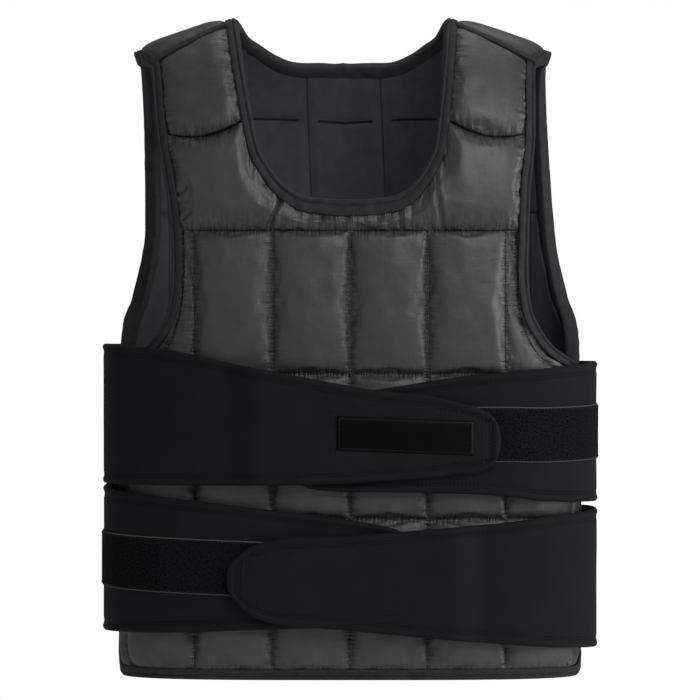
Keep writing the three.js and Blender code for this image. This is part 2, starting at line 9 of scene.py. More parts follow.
import logging
import math
from dataclasses import dataclass, field
from enum import Enum
from functools import cached_property
from typing import Callable, NamedTuple

import bmesh
import bpy
import numpy as np
from mathutils import Matrix, Vector

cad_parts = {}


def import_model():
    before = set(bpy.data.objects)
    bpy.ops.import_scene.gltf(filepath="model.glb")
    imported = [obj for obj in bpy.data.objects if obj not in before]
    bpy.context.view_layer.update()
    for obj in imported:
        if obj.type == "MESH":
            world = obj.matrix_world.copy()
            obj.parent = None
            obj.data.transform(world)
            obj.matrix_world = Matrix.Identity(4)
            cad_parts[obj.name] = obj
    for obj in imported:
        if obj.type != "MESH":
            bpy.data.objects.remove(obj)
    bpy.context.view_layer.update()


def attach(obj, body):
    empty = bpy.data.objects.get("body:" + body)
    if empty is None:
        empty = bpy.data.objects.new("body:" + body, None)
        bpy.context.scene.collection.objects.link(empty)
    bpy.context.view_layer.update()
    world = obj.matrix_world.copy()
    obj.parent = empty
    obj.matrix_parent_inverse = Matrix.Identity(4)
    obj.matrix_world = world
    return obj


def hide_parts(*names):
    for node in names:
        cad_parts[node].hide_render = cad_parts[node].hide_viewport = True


LOG = logging.getLogger("vest")
MM = 0.001
CLOTH_UV = "cloth"
TINY = 1e-9
Array = np.ndarray
Tree = bpy.types.NodeTree
Socket = bpy.types.NodeSocket


class Face(Enum):
    """The cloth that a piece is cut from."""

    FRONT = -1
    BACK = 1


class Hand(Enum):
    """The side that a belt wing comes from, as seen from the front."""

    LEFT = -1
    RIGHT = 1


# Shapes on flat cloth


def smooth_line(points: list[tuple[float, float]], per_span: int = 24) -> Array:
    """Draws a smooth curve through points.

    Args:
        points: the points, in order.
        per_span: steps between two points.

    Returns:
        The curve as an array of points.
    """
    p = np.array(points, float)
    p = np.vstack([p[:1], p, p[-1:]])
    t = np.linspace(0, 1, per_span, endpoint=False)[:, None]
    spans = []
    for a, b, c, d in zip(p[:-3], p[1:-2], p[2:-1], p[3:]):
        low, high = (c - a) / 2, (d - b) / 2
        spans.append(
            (2 * b - 2 * c + low + high) * t**3 + (-3 * b + 3 * c - 2 * low - high) * t**2 + low * t + b
        )
    return np.vstack([*spans, p[-1:]])


def run_of(line: Array) -> Array:
    """Gives the length along a line at each of its points."""
    return np.concatenate([[0], np.cumsum(np.linalg.norm(np.diff(line, axis=0), axis=1))])


def along(line: Array, share: Array) -> Array:
    """Gives the points at shares of a line's length.

    Args:
        line: points in two or three dimensions.
        share: from 0, the start, to 1, the end.

    Returns:
        One point for each share.
    """
    run = run_of(line)
    target = np.clip(share, 0, 1) * run[-1]
    return np.stack([np.interp(target, run, line[:, k]) for k in range(line.shape[1])], axis=-1)


def evened(line: Array, step: float) -> Array:
    """Gives a line again with points at an even step."""
    return along(line, np.linspace(0, 1, max(2, round(run_of(line)[-1] / step) + 1)))


def offset(line: Array, distance: float) -> Array:
    """Moves a line to the left of its direction, or to the right where the distance is negative.

    Args:
        line: the flat line.
        distance: how far to the left, in millimetres.

    Returns:
        The moved line.
    """
    heading = np.gradient(line, axis=0)
    heading /= np.maximum(np.linalg.norm(heading, axis=1, keepdims=True), TINY)
    return line + distance * np.stack([-heading[:, 1], heading[:, 0]], axis=1)


def mirrored(line: Array) -> Array:
    """Mirrors a flat line about the centre line."""
    return line * np.array([-1.0, 1.0])


def reach_at(line: Array, height: Array | float) -> Array:
    """Gives the girth of a falling line at heights."""
    order = np.argsort(line[:, 1], kind="stable")
    return np.interp(height, line[order, 1], line[order, 0])


class Speckle:
    """Smooth value noise with a fixed seed, the same in each run."""

    SIZE = 256

    def __init__(self, seed: int) -> None:
        """Fills the lattice of the noise."""
        self.table = np.random.default_rng(seed).random((self.SIZE, self.SIZE)) * 2 - 1

    def at(self, x: Array, y: Array) -> Array:
        """Gives the noise, from -1 to 1, at places counted in cells of the lattice.

        Args:
            x: places across.
            y: places up.

        Returns:
            One value for each place.
        """
        x, y = np.broadcast_arrays(np.asarray(x, float), np.asarray(y, float))
        i, j = np.floor(x).astype(int), np.floor(y).astype(int)
        s, t = x - i, y - j
        s, t = s * s * (3 - 2 * s), t * t * (3 - 2 * t)

        def corner(a: int, b: int) -> Array:
            """Values at one corner of the cells that the places are in."""
            return self.table[(i + a) % self.SIZE, (j + b) % self.SIZE]

        low = corner(0, 0) * (1 - s) + corner(1, 0) * s
        high = corner(0, 1) * (1 - s) + corner(1, 1) * s
        return low * (1 - t) + high * t


# The form that the cloth lies on


@dataclass(frozen=True)
class TorsoForm:
    """The inner face of the worn vest, in millimetres.

    The plan is a squared ellipse. Above the chest the form arches over the shoulders.
    """

    half_width: float = 205.0
    half_depth: float = 95.0
    squareness: float = 3.4
    chest_height: float = 406.0
    arch_length: float = 225.0
    ridge_at_neck: float = 598.0
    ridge_at_arm: float = 563.0
    neck_reach: float = 96.0
    arm_reach: float = 199.0
    shoulder_shift: float = -8.0
    rest_height: float = 570.0
    steps: int = 1440

    @cached_property
    def section(self) -> tuple[Array, Array, Array]:
        """Girth, x and y round the plan from the centre front to the centre back."""
        angle = np.linspace(0, math.pi, self.steps + 1)
        power = 2 / self.squareness
        x = self.half_width * np.sin(angle).clip(0) ** power
        y = -self.half_depth * np.sign(np.cos(angle)) * np.abs(np.cos(angle)) ** power
        return run_of(np.stack([x, y], axis=1)), x, y

    @property
    def half_girth(self) -> float:
        """Girth from the centre front to the centre back."""
        return float(self.section[0][-1])

    @property
    def ridge_cloth(self) -> float:
        """Height up the cloth of the shoulder ridge."""
        return self.chest_height + self.arch_length

    def surface(self, face: Face, girth: Array, height: Array) -> Array:
        """Gives points of the form in millimetres.

        Args:
            face: the cloth that the places are drawn on.
            girth: distance from the centre line.
            height: distance up the cloth from the hem.

        Returns:
            An array of points.
        """
        walked, xs, ys = self.section
        reach = np.interp(np.abs(girth), walked, xs)
        depth = np.interp(np.abs(girth), walked, ys)
        swing = np.maximum(height - self.chest_height, 0) / self.arch_length * math.pi / 2
        slope = (self.ridge_at_arm - self.ridge_at_neck) / (self.arm_reach - self.neck_reach)
        ridge = self.ridge_at_neck + slope * (reach - self.neck_reach)
        arched = self.chest_height + (ridge - self.chest_height) * np.sin(swing)
        z = np.where(height > self.chest_height, arched, height)
        rise = (z - self.chest_height) / (self.ridge_at_neck - self.chest_height)
        x = -face.value * np.sign(girth) * reach + self.shoulder_shift * np.clip(rise, 0, 1)
        return np.stack([x, -face.value * depth * np.cos(swing), z], axis=-1)

    def outward(self, face: Face, girth: Array, height: Array, step: float = 1.0) -> Array:
        """Gives the outward normal of the form at places of a cloth.

        Args:
            face: the cloth.
            girth: distance from the centre line.
            height: distance up the cloth.
            step: how far apart the slopes are taken.

        Returns:
            One unit vector for each place.
        """
        across = self.surface(face, girth + step, height) - self.surface(face, girth - step, height)
        up = self.surface(face, girth, height + step) - self.surface(face, girth, height - step)
        normal = np.cross(across, up)
        return normal / np.linalg.norm(normal, axis=-1, keepdims=True)

    def drape(self, face: Face, girth: Array, height: Array, out: Array | float) -> Array:
        """Lays places of a cloth on the form.

        Args:
            face: the cloth.
            girth: distance from the centre line.
            height: distance up the cloth.
            out: height over the form, along its normal.

        Returns:
            Points in metres, in the frame of the model.
        """
        girth, height, out = np.broadcast_arrays(*(np.asarray(a, float) for a in (girth, height, out)))
        points = self.surface(face, girth, height) + self.outward(face, girth, height) * out[..., None]
        points[..., 2] -= self.rest_height
        return points * MM


FORM = TorsoForm()


@dataclass(frozen=True)
class Layers:
    """Heights of the layers over the form, in millimetres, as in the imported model."""

    seam: float = 6.0
    pocket_rise: float = 11.0
    yoke_rise: float = 8.0
    lining: float = 2.6
    lining_gap: float = 2.8
    foam: float = 4.5
    wing_seat: float = 0.5
    loop: float = 1.5
    hook: float = 1.2
    gap: float = 0.3

    @property
    def wing(self) -> float:
        """Inner face of a wing that lies on the pockets."""
        return self.seam + self.pocket_rise + self.wing_seat

    @property
    def strip(self) -> float:
        """Inner face of a loop strip."""
        return self.wing + self.foam + self.gap

    @property
    def over_wing(self) -> float:
        """Inner face of a wing that lies on another wing and its strips."""
        return self.strip + self.loop + self.gap + self.hook + self.gap

    @property
    def label(self) -> float:
        """Inner face of the label."""
        return self.over_wing + self.foam + self.gap


LAYERS = Layers()


class ArmRow(NamedTuple):
    """A point of an arm opening: shares up it, out to the side and out to the shoulder."""

    up: float
    flare: float
    spread: float = 0.0


class NeckRow(NamedTuple):
    """A point of a neckline: shares up to the ridge and out to the neck's reach."""

    up: float
    out: float


@dataclass(frozen=True)
class ClothOutline:
    """The free edges of the front or the back cloth, in millimetres."""

    face: Face
    arm_rows: tuple[ArmRow, ...]
    neck_rows: tuple[NeckRow, ...]
    arm_base: float
    arm_reach: float
    shoulder_reach: float
    side_reach: float
    seam_height: float
    neck_bottom: float
    seam_reach: float = 179.0
    hem_corner: float = 32.0
    line_step: float = 1.0

    @cached_property
    def edge(self) -> Array:
        """The left free edge, from the shoulder seam down the arm and side to the middle of the hem."""
        span = self.seam_height - self.arm_base
        points = [(-self.seam_reach, self.seam_height)]
        for row in self.arm_rows:
            out = row.flare * (self.side_reach - self.arm_reach)
            out += row.spread * (self.shoulder_reach - self.arm_reach)
            points.append((-(self.arm_reach + out), self.arm_base + row.up * span))
        turn = np.linspace(math.pi, 1.5 * math.pi, 24)[:, None]
        centre = np.array([-(self.side_reach - self.hem_corner), self.hem_corner])
        corner = centre + self.hem_corner * np.hstack([np.cos(turn), np.sin(turn)])
        return evened(np.vstack([smooth_line(points), corner, [[0.0, 0.0]]]), self.line_step)

    @cached_property
    def whole_edge(self) -> Array:
        """The free edge from one shoulder seam round the hem to the other."""
        return np.vstack([self.edge, mirrored(self.edge[:-1])[::-1]])

    @cached_property
    def neck(self) -> Array:
        """The neckline from the left ridge through its bottom to the right ridge."""
        rise = FORM.ridge_cloth - self.neck_bottom
        half = [(row.out * FORM.neck_reach, self.neck_bottom + row.up * rise) for row in self.neck_rows]
        left = [(-x, y) for x, y in reversed(half)]
        return evened(smooth_line([*left, (0.0, self.neck_bottom), *half]), self.line_step)

    def arm_line(self, inset: float) -> Array:
        """The left edge moved into the cloth."""
        return offset(self.edge, inset)

    def neck_line(self, inset: float) -> Array:
        """The neckline moved into the cloth."""
        return offset(self.neck, -inset)


SEAM_DROP_NECK = 31.0
SEAM_DROP_ARM = 60.0
FRONT_CLOTH = ClothOutline(
    face=Face.FRONT,
    arm_rows=(
        ArmRow(0.92, 0, 0.83), ArmRow(0.70, 0, 0.61), ArmRow(0.525, 0, 0.17), ArmRow(0.375, 0),
        ArmRow(0.277, 0.005), ArmRow(0.192, 0.048), ArmRow(0.134, 0.15), ArmRow(0.085, 0.29),
        ArmRow(0.049, 0.51), ArmRow(0.025, 0.74), ArmRow(0, 0.90), ArmRow(-0.04, 0.98), ArmRow(-0.09, 1),
    ),
    neck_rows=(
        NeckRow(0.005, 0.24), NeckRow(0.02, 0.46), NeckRow(0.058, 0.615), NeckRow(0.126, 0.75),
        NeckRow(0.203, 0.833), NeckRow(0.425, 0.917), NeckRow(0.66, 0.965), NeckRow(1, 1),
    ),
    arm_base=277.0,
    arm_reach=161.0,
    shoulder_reach=179.0,
    side_reach=245.0,
    seam_height=FORM.ridge_cloth - SEAM_DROP_ARM,
    neck_bottom=424.0,
)
BACK_CLOTH = ClothOutline(
    face=Face.BACK,
    arm_rows=(
        ArmRow(0.86, 0, 1), ArmRow(0.75, 0, 0.25), ArmRow(0.608, 0), ArmRow(0.45, 0.015),
        ArmRow(0.28, 0.08), ArmRow(0.168, 0.28), ArmRow(0.127, 0.45), ArmRow(0.089, 0.70),
        ArmRow(0.051, 0.89), ArmRow(0, 1),
    ),
    neck_rows=(
        NeckRow(0.038, 0.21), NeckRow(0.095, 0.46), NeckRow(0.196, 0.635), NeckRow(0.342, 0.78),
        NeckRow(0.53, 0.906), NeckRow(1, 1),
    ),
    arm_base=285.0,
    arm_reach=191.0,
    shoulder_reach=199.0,
    side_reach=255.0,
    seam_height=FORM.ridge_cloth + SEAM_DROP_ARM,
    neck_bottom=520.0,
)


# Finishes


def linear(hex_colour: str) -> tuple[float, float, float, float]:
    """Turns an sRGB colour such as "#4a4a4a" to linear light."""
    parts = [int(hex_colour[i : i + 2], 16) / 255 for i in (1, 3, 5)]
    return (*(p / 12.92 if p <= 0.04045 else ((p + 0.055) / 1.055) ** 2.4 for p in parts), 1.0)


def add_node(
    tree: Tree, kind: str, links: dict[str | int, object] | None = None, **settings: object
) -> bpy.types.Node:
    """Adds a node with its settings and links.

    Args:
        tree: the material's node tree.
        kind: the node's type, without its ShaderNode prefix.
        links: for each input, a socket to link or a value to set.
        settings: properties of the node.

    Returns:
        The node.
    """
    node = tree.nodes.new(f"ShaderNode{kind}")
    for name, value in settings.items():
        setattr(node, name, value)
    for name, value in (links or {}).items():
        if isinstance(value, bpy.types.NodeSocket):
            tree.links.new(value, node.inputs[name])
        else:
            node.inputs[name].default_value = value
    return node


class Blotches(NamedTuple):
    """Soft noise on a cloth: size of its blotches and depth of its relief, in millimetres."""

    size: float
    depth: float
    detail: float = 2.0
    stretch: tuple[float, float] = (1.0, 1.0)


@dataclass(frozen=True)
class LiningSeams:
    """Where the lining is sewn: columns, and a row of dashes that rises towards the sides. In millimetres."""

    pitch: float = 70.0
    dash_height: float = 477.0
    dash_rise: float = 0.18
    dash_gap: float = 9.0


LINING_SEAMS = LiningSeams()
# Distances of the two rows of stitches from the edge of a belt wing, in millimetres
EDGE_ROWS = (7.0, 9.4)


@dataclass(frozen=True)
class Finish:
    """A surface finish, made into a material once.

    Lengths are in millimetres on the real cloth. Its two shades drift into each other in soft patches.
    """

    name: str
    shade: str
    light: str
    roughness: float
    sheen: float = 0.0
    specular: float = 0.5
    mottle: float = 12.0
    mottle_detail: float = 3.0
    mottle_span: tuple[float, float] = (0.3, 0.7)
    sheen_roughness: float = 0.45
    uneven: tuple[Blotches, ...] = (Blotches(1.5, 0.1),)

    def material(self) -> bpy.types.Material:
        """Gives the finish's material, building it the first time."""
        known = bpy.data.materials.get(self.name)
        if known:
            return known
        made = bpy.data.materials.new(self.name)
        made.use_nodes = True
        tree = made.node_tree
        shader = tree.nodes["Principled BSDF"]
        shader.inputs["Roughness"].default_value = self.roughness
        shader.inputs["Specular IOR Level"].default_value = self.specular
        shader.inputs["Sheen Weight"].default_value = self.sheen
        shader.inputs["Sheen Roughness"].default_value = self.sheen_roughness
        shader.inputs["Sheen Tint"].default_value = linear(self.light)
        tree.links.new(self.colour(tree), shader.inputs["Base Color"])
        tree.links.new(self.relief(tree), shader.inputs["Normal"])
        return made

    def cloth_place(self, tree: Tree) -> Socket:
        """Place on the flat cloth in millimetres."""
        uv = add_node(tree, "UVMap", uv_map=CLOTH_UV)
        links = {0: uv.outputs["UV"], 1: (1 / MM, 1 / MM, 1 / MM)}
        return add_node(tree, "VectorMath", links, operation="MULTIPLY").outputs[0]

    def blotchy(
        self, tree: Tree, size: float, detail: float = 2.0, stretch: tuple[float, float] = (1.0, 1.0)
    ) -> Socket:
        """Pattern of soft blotches of a size in millimetres, stretched across and up the cloth.

        Args:
            tree: the material's node tree.
            size: size of the blotches.
            detail: levels of finer blotches.
            stretch: how much longer they are each way.

        Returns:
            The pattern's height, from 0 to 1.
        """
        scale = (1 / (size * stretch[0]), 1 / (size * stretch[1]), 1.0)
        place = add_node(tree, "Mapping", {"Vector": self.cloth_place(tree), "Scale": scale})
        links = {"Vector": place.outputs[0], "Scale": 1.0, "Detail": detail}
        return add_node(tree, "TexNoise", links).outputs["Fac"]

    def ribbed(self, tree: Tree, pitch: float, axis: str) -> Socket:
        """Pattern of even ridges across one axis of the cloth, a pitch apart, from 0 to 1.

        Args:
            tree: the material's node tree.
            pitch: distance between ridges, in millimetres.
            axis: X or Y, the axis that the ridges lie across.

        Returns:
            The pattern's height.
        """
        split = add_node(tree, "SeparateXYZ", {0: self.cloth_place(tree)})
        links = {0: split.outputs[axis], 1: 2 * math.pi / pitch}
        turn = add_node(tree, "Math", links, operation="MULTIPLY")
        wave = add_node(tree, "Math", {0: turn.outputs[0]}, operation="SINE")
        return add_node(tree, "MapRange", {"Value": wave.outputs[0], "From Min": -1.0}).outputs[0]

    def criss_crossed(self, tree: Tree, pitch: float) -> Socket:
        """Pattern of small bosses where ridges across and up the cloth meet."""
        links = {0: self.ribbed(tree, pitch, "X"), 1: self.ribbed(tree, pitch, "Y")}
        return add_node(tree, "Math", links, operation="MULTIPLY").outputs[0]

    def colour(self, tree: Tree) -> Socket:
        """Base colour: two shades that drift over the cloth."""
        drift = self.blotchy(tree, self.mottle, self.mottle_detail)
        ramp = add_node(tree, "ValToRGB", {"Fac": drift})
        shades = zip(ramp.color_ramp.elements, self.mottle_span, (self.shade, self.light))
        for element, position, shade in shades:
            element.position = position
            element.color = linear(shade)
        return ramp.outputs["Color"]

    def patterns(self, tree: Tree) -> list[tuple[Socket, float]]:
        """Heights of the relief's patterns, each with its depth in millimetres."""
        return [
            (self.blotchy(tree, layer.size, layer.detail, layer.stretch), layer.depth)
            for layer in self.uneven
        ]

    def relief(self, tree: Tree) -> Socket:
        """Surface relief, as a normal, with each pattern laid over the one before."""
        normal: Socket | None = None
        for height, depth in self.patterns(tree):
            links = {"Height": height, "Strength": 1.0, "Distance": depth * MM}
            if normal is not None:
                links["Normal"] = normal
            normal = add_node(tree, "Bump", links).outputs["Normal"]
        return normal


@dataclass(frozen=True)
class WovenNylon(Finish):
    """Plain woven nylon shell cloth.

    The yarns are 0.4 mm apart, too fine to show, so the weave is drawn at a coarser pitch. Puckers run
    across the seams where the mesh says that a seam is near. Painted shade lies in the seams, where it also
    stands for their thread, and in the deepest puckers.
    """

    uneven: tuple[Blotches, ...] = (Blotches(9.0, 0.4, 4.0),)
    weave: float = 1.3
    weave_depth: float = 0.05
    pucker: float = 2.3
    pucker_run: float = 5.0
    pucker_depth: float = 3.0
    # Colour of the painted shade in the seams and their creases; in the seams it also stands for the thread
    crease: str = "#0a0b0d"
    crease_shade_span: tuple[float, float] = (0.42, 0.56)
    crease_shade_spread: float = 0.4
    seam_shade_sharpness: float = 2.5

    def patterns(self, tree: Tree) -> list[tuple[Socket, float]]:
        """Weave, soft crumple and puckers beside the seams."""
        made = [(self.criss_crossed(tree, self.weave), self.weave_depth), *super().patterns(tree)]
        for beside, pucker in self.puckers(tree):
            folds = add_node(tree, "Math", {0: pucker, 1: beside}, operation="MULTIPLY")
            made.append((folds.outputs[0], self.pucker_depth))
        return made

    def puckers(self, tree: Tree) -> list[tuple[Socket, Socket]]:
        """For each of the two kinds of seam, nearness to it and the puckers that run away from it."""
        made = []
        for name, stretch in (
            ("beside_column", (self.pucker_run, 1.0)), ("beside_row", (1.0, self.pucker_run))
        ):
            beside = add_node(tree, "Attribute", attribute_name=name).outputs["Fac"]
            made.append((beside, self.blotchy(tree, self.pucker, stretch=stretch)))
        return made

    def colour(self, tree: Tree) -> Socket:
        """Shell colour, with painted shade in the seams (and their thread) and in their jagged creases."""
        low, high = self.crease_shade_span
        share: Socket | float = 0.0
        for beside, pucker in self.puckers(tree):
            jag = add_node(tree, "MapRange", {"Value": pucker, "From Min": low, "From Max": high})
            spread = add_node(tree, "Math", {0: beside, 1: self.crease_shade_spread}, operation="POWER")
            links = {0: jag.outputs[0], 1: spread.outputs[0]}
            jagged = add_node(tree, "Math", links, operation="MULTIPLY")
            seam = add_node(tree, "Math", {0: beside, 1: self.seam_shade_sharpness}, operation="POWER")
            links = {0: jagged.outputs[0], 1: seam.outputs[0]}
            # Painted shade: the jagged creases beside the seam and the seam valley itself
            painted_shade = add_node(tree, "Math", links, operation="MAXIMUM")
            share = add_node(tree, "Math", {0: share, 1: painted_shade.outputs[0]}, operation="MAXIMUM").outputs[0]
        links = {"Fac": share, "Color1": super().colour(tree), "Color2": linear(self.crease)}
        return add_node(tree, "MixRGB", links).outputs[0]


@dataclass(frozen=True)
class RibbedTape(Finish):
    """Woven polyester tape, folded over the edges: fine cross ribs and a slight waviness.

    The ribs are 0.7 mm apart, too fine to show, and are drawn twice as coarse.
    """

    uneven: tuple[Blotches, ...] = (Blotches(5.0, 0.45, 3.0),)
    rib: float = 1.4
    rib_depth: float = 0.08

    def patterns(self, tree: Tree) -> list[tuple[Socket, float]]:
        """Cross ribs over a soft pucker."""
        return [*super().patterns(tree), (self.ribbed(tree, self.rib, "X"), self.rib_depth)]


@dataclass(frozen=True)
class KnitFoam(Finish):
    """Foam rubber faced with a fine jersey knit: matte, with a slight nap.

    The knit's loops are 0.4 mm apart, too fine to show, and are drawn three times as coarse.
    """

    uneven: tuple[Blotches, ...] = (Blotches(1.1, 0.12, 3.0), Blotches(16.0, 0.35, 3.0))
    loop: float = 1.2
    loop_depth: float = 0.05

    def patterns(self, tree: Tree) -> list[tuple[Socket, float]]:
        """Fine knit over the nap and the gentle unevenness of the foam."""
        return [(self.criss_crossed(tree, self.loop), self.loop_depth), *super().patterns(tree)]


@dataclass(frozen=True)
class EdgedFoam(KnitFoam):
    """Knit-faced foam with a bound edge, with painted shadow where its two rows of stitches sink in."""

    rows: tuple[float, float] = EDGE_ROWS
    reach: float = 0.9
    core: float = 0.27
    shadow: str = "#020304"

    def colour(self, tree: Tree) -> Socket:
        """Knit colour with painted shadow in the two sewn lines."""
        side = add_node(tree, "Attribute", attribute_name="from_edge").outputs["Fac"]
        share: Socket | float = 0.0
        for row in self.rows:
            across = add_node(tree, "Math", {0: side, 1: row}, operation="SUBTRACT")
            away = add_node(tree, "Math", {0: across.outputs[0]}, operation="ABSOLUTE")
            links = {"Value": away.outputs[0], "From Min": self.reach, "From Max": self.core}
            sunk = add_node(tree, "MapRange", links)
            share = add_node(tree, "Math", {0: share, 1: sunk.outputs[0]}, operation="MAXIMUM").outputs[0]
        links = {"Fac": share, "Color1": super().colour(tree), "Color2": linear(self.shadow)}
        return add_node(tree, "MixRGB", links).outputs[0]


@dataclass(frozen=True)
class QuiltedKnit(KnitFoam):
    """Knit-faced foam sewn through in columns, with short dashes across between them."""

    seams: LiningSeams = LINING_SEAMS
    line: float = 0.9
    line_share: float = 0.6
    dash_line: float = 0.99
    thread: str = "#101214"

    def columns(self, tree: Tree, girth: Socket) -> Socket:
        """Distance to the nearest sewn column."""
        half = self.seams.pitch / 2
        shifted = add_node(tree, "Math", {0: girth, 1: half}, operation="ADD").outputs[0]
        return add_node(tree, "Math", {0: shifted, 1: half}, operation="PINGPONG").outputs[0]

    def dashes(self, tree: Tree, girth: Socket, height: Socket) -> Socket:
        """1 on the level of the dashes, which rises towards the sides, and 0 off it.

        Args:
            tree: the material's node tree.
            girth: girth on the cloth.
            height: height on the cloth.

        Returns:
            The mask.
        """
        side = add_node(tree, "Math", {0: girth}, operation="ABSOLUTE").outputs[0]
        rise = add_node(tree, "Math", {0: side, 1: self.seams.dash_rise}, operation="MULTIPLY").outputs[0]
        level = add_node(tree, "Math", {0: height, 1: rise}, operation="SUBTRACT").outputs[0]
        links = {0: level, 1: self.seams.dash_height}
        over = add_node(tree, "Math", links, operation="SUBTRACT").outputs[0]
        away = add_node(tree, "Math", {0: over}, operation="ABSOLUTE").outputs[0]
        return add_node(tree, "Math", {0: away, 1: self.dash_line}, operation="LESS_THAN").outputs[0]

    def sewn(self, tree: Tree) -> Socket:
        """1 on the dashes, less on the columns, and 0 between them."""
        split = add_node(tree, "SeparateXYZ", {0: self.cloth_place(tree)})
        girth, height = split.outputs["X"], split.outputs["Y"]
        beside = self.columns(tree, girth)
        near = add_node(tree, "Math", {0: beside, 1: self.line}, operation="LESS_THAN").outputs[0]
        upright = add_node(tree, "Math", {0: near, 1: self.line_share}, operation="MULTIPLY").outputs[0]
        links = {0: beside, 1: self.seams.dash_gap}
        apart = add_node(tree, "Math", links, operation="GREATER_THAN").outputs[0]
        links = {0: self.dashes(tree, girth, height), 1: apart}
        dash = add_node(tree, "Math", links, operation="MULTIPLY").outputs[0]
        return add_node(tree, "Math", {0: upright, 1: dash}, operation="MAXIMUM").outputs[0]

    def colour(self, tree: Tree) -> Socket:
        """Knit colour with the sewn lines."""
        links = {"Fac": self.sewn(tree), "Color1": super().colour(tree), "Color2": linear(self.thread)}
        return add_node(tree, "MixRGB", links).outputs[0]


@dataclass(frozen=True)
class LoopPile(Finish):
    """Brushed loop tape: a deep black pile of loops a millimetre across, between two woven edges."""

    uneven: tuple[Blotches, ...] = (Blotches(1.2, 0.8, 4.0), Blotches(6.0, 0.6))
    selvage: float = 1.1
    selvage_colour: str = "#474747"

    def colour(self, tree: Tree) -> Socket:
        """Pile colour with the woven edges."""
        side = add_node(tree, "Attribute", attribute_name="from_edge").outputs["Fac"]
        edge = add_node(tree, "Math", {0: side, 1: self.selvage}, operation="LESS_THAN").outputs[0]
        links = {"Fac": edge, "Color1": super().colour(tree), "Color2": linear(self.selvage_colour)}
        return add_node(tree, "MixRGB", links).outputs[0]


@dataclass(frozen=True)
class SatinWeave(Finish):
    """Damask label satin: long smooth floats with a soft lustre, slightly cockled.

    The floats are 0.3 mm wide, too fine to show, and are drawn four times as coarse.
    """

    uneven: tuple[Blotches, ...] = (Blotches(1.2, 0.05, stretch=(4.0, 1.0)), Blotches(22.0, 0.7))


@dataclass(frozen=True)
class TwistedThread(Finish):
    """Bonded polyester thread, its 0.5 mm twist drawn three times as coarse to show."""


# Filament yarn and a tight plain weave: charcoal with a slight lustre on the crowns of the pockets.
NYLON = WovenNylon("nylon_shell", "#343334", "#3b3a3b", 0.45, sheen=0.06, specular=0.5)
# Jersey knit bonded to thin foam: dull, even and a little bluer than the shell.
LINING = QuiltedKnit("lining_knit_foam", "#34363a", "#3c3e41", 0.85, sheen=0.1, specular=0.25)
# Folded woven tape: darker than the shell, with a soft light along its fold.
TAPE = RibbedTape("edge_tape_polyester", "#1c1d1f", "#27292b", 0.7, sheen=0.14, specular=0.25, mottle=8.0)
# Jersey knit on foam rubber: near black face on, and grey where its nap turns away from the eye.
FOAM = EdgedFoam("belt_knit_foam", "#0b0d10", "#101215", 0.8, sheen=1.0, specular=0.16, mottle=30.0)
# Brushed nylon loops: the deepest black of the vest, with painted highlight flecks where the loops catch
# light.
PILE = LoopPile("loop_tape_nylon", "#020203", "#1a1b1d", 0.95, sheen=0.22, specular=0.06, mottle=1.6)
# Nylon hook tape: black and a little shiny.
HOOK = RibbedTape("hook_tape_nylon", "#08080a", "#0e0e10", 0.7, specular=0.3)
# Polyester satin: smooth black with a soft gloss.
SATIN = SatinWeave("label_satin_polyester", "#010101", "#020202", 0.42, specular=0.1, mottle=40.0)
# Bonded thread: black, with small bright points on each stitch.
THREAD = TwistedThread("sewing_thread_polyester", "#0b0c0d", "#121315", 0.5, specular=0.3)


# Making cloth


@dataclass
class Grid:
    """A grid of cloth points, its rows running across the cloth."""

    columns: int
    rows: int
    order: Array | None = None

    @cached_property
    def shares(self) -> tuple[Array, Array]:
        """Shares across and up the grid, one for each point, in the order of the mesh."""
        u, v = np.meshgrid(np.linspace(0, 1, self.columns + 1), np.linspace(0, 1, self.rows + 1))
        return u.ravel(), v.ravel()

    def mesh(self, name: str, outer: Array, inner: Array | None, flat: Array) -> bpy.types.Object:
        """Makes an object of one or two layers of the grid.

        Args:
            name: name of the object.
            outer: places of the outer layer, in metres.
            inner: places of the inner layer, which closes the piece, or None.
            flat: girth and height of each point on the cloth, in millimetres.

        Returns:
            The object, with the flat cloth as its UV map.
        """
        bm = bmesh.new()
        bmesh.ops.create_grid(bm, x_segments=self.columns, y_segments=self.rows, size=0.5)
        if inner is not None:
            bmesh.ops.solidify(bm, geom=bm.faces[:], thickness=0.1)
        mesh = bpy.data.meshes.new(f"{name}_sewn")
        bm.to_mesh(mesh)
        bm.free()
        level = np.zeros(len(mesh.vertices) * 3, np.float32)
        mesh.vertices.foreach_get("co", level)
        x, y, z = level.reshape(-1, 3).T
        row, column = np.rint((y + 0.5) * self.rows), np.rint((x + 0.5) * self.columns)
        self.order = (row * (self.columns + 1) + column).astype(int)
        places = outer[self.order]
        if inner is not None:
            places = np.where((z > z.mean())[:, None], places, inner[self.order])
        mesh.vertices.foreach_set("co", places.astype(np.float32).ravel())
        piece = bpy.data.objects.new(f"{name}_sewn", mesh)
        bpy.context.scene.collection.objects.link(piece)
        self.lay_uv(mesh, flat[self.order])
        mesh.polygons.foreach_set("use_smooth", [True] * len(mesh.polygons))
        mesh.update()
        return piece

    @staticmethod
    def lay_uv(mesh: bpy.types.Mesh, flat: Array) -> None:
        """Writes the flat cloth, in metres, as the mesh's UV map.

        Args:
            mesh: the mesh.
            flat: girth and height of its vertices, in millimetres.
        """
        corner = np.zeros(len(mesh.loops), np.int32)
        mesh.loops.foreach_get("vertex_index", corner)
        layer = mesh.uv_layers.new(name=CLOTH_UV)
        layer.data.foreach_set("uv", (flat[corner] * MM).astype(np.float32).ravel())


def mark(piece: bpy.types.Object, name: str, values: Array) -> None:
    """Stores one number for each vertex of a piece."""
    layer = piece.data.attributes.new(name, "FLOAT", "POINT")
    layer.data.foreach_set("value", np.asarray(values, np.float32))


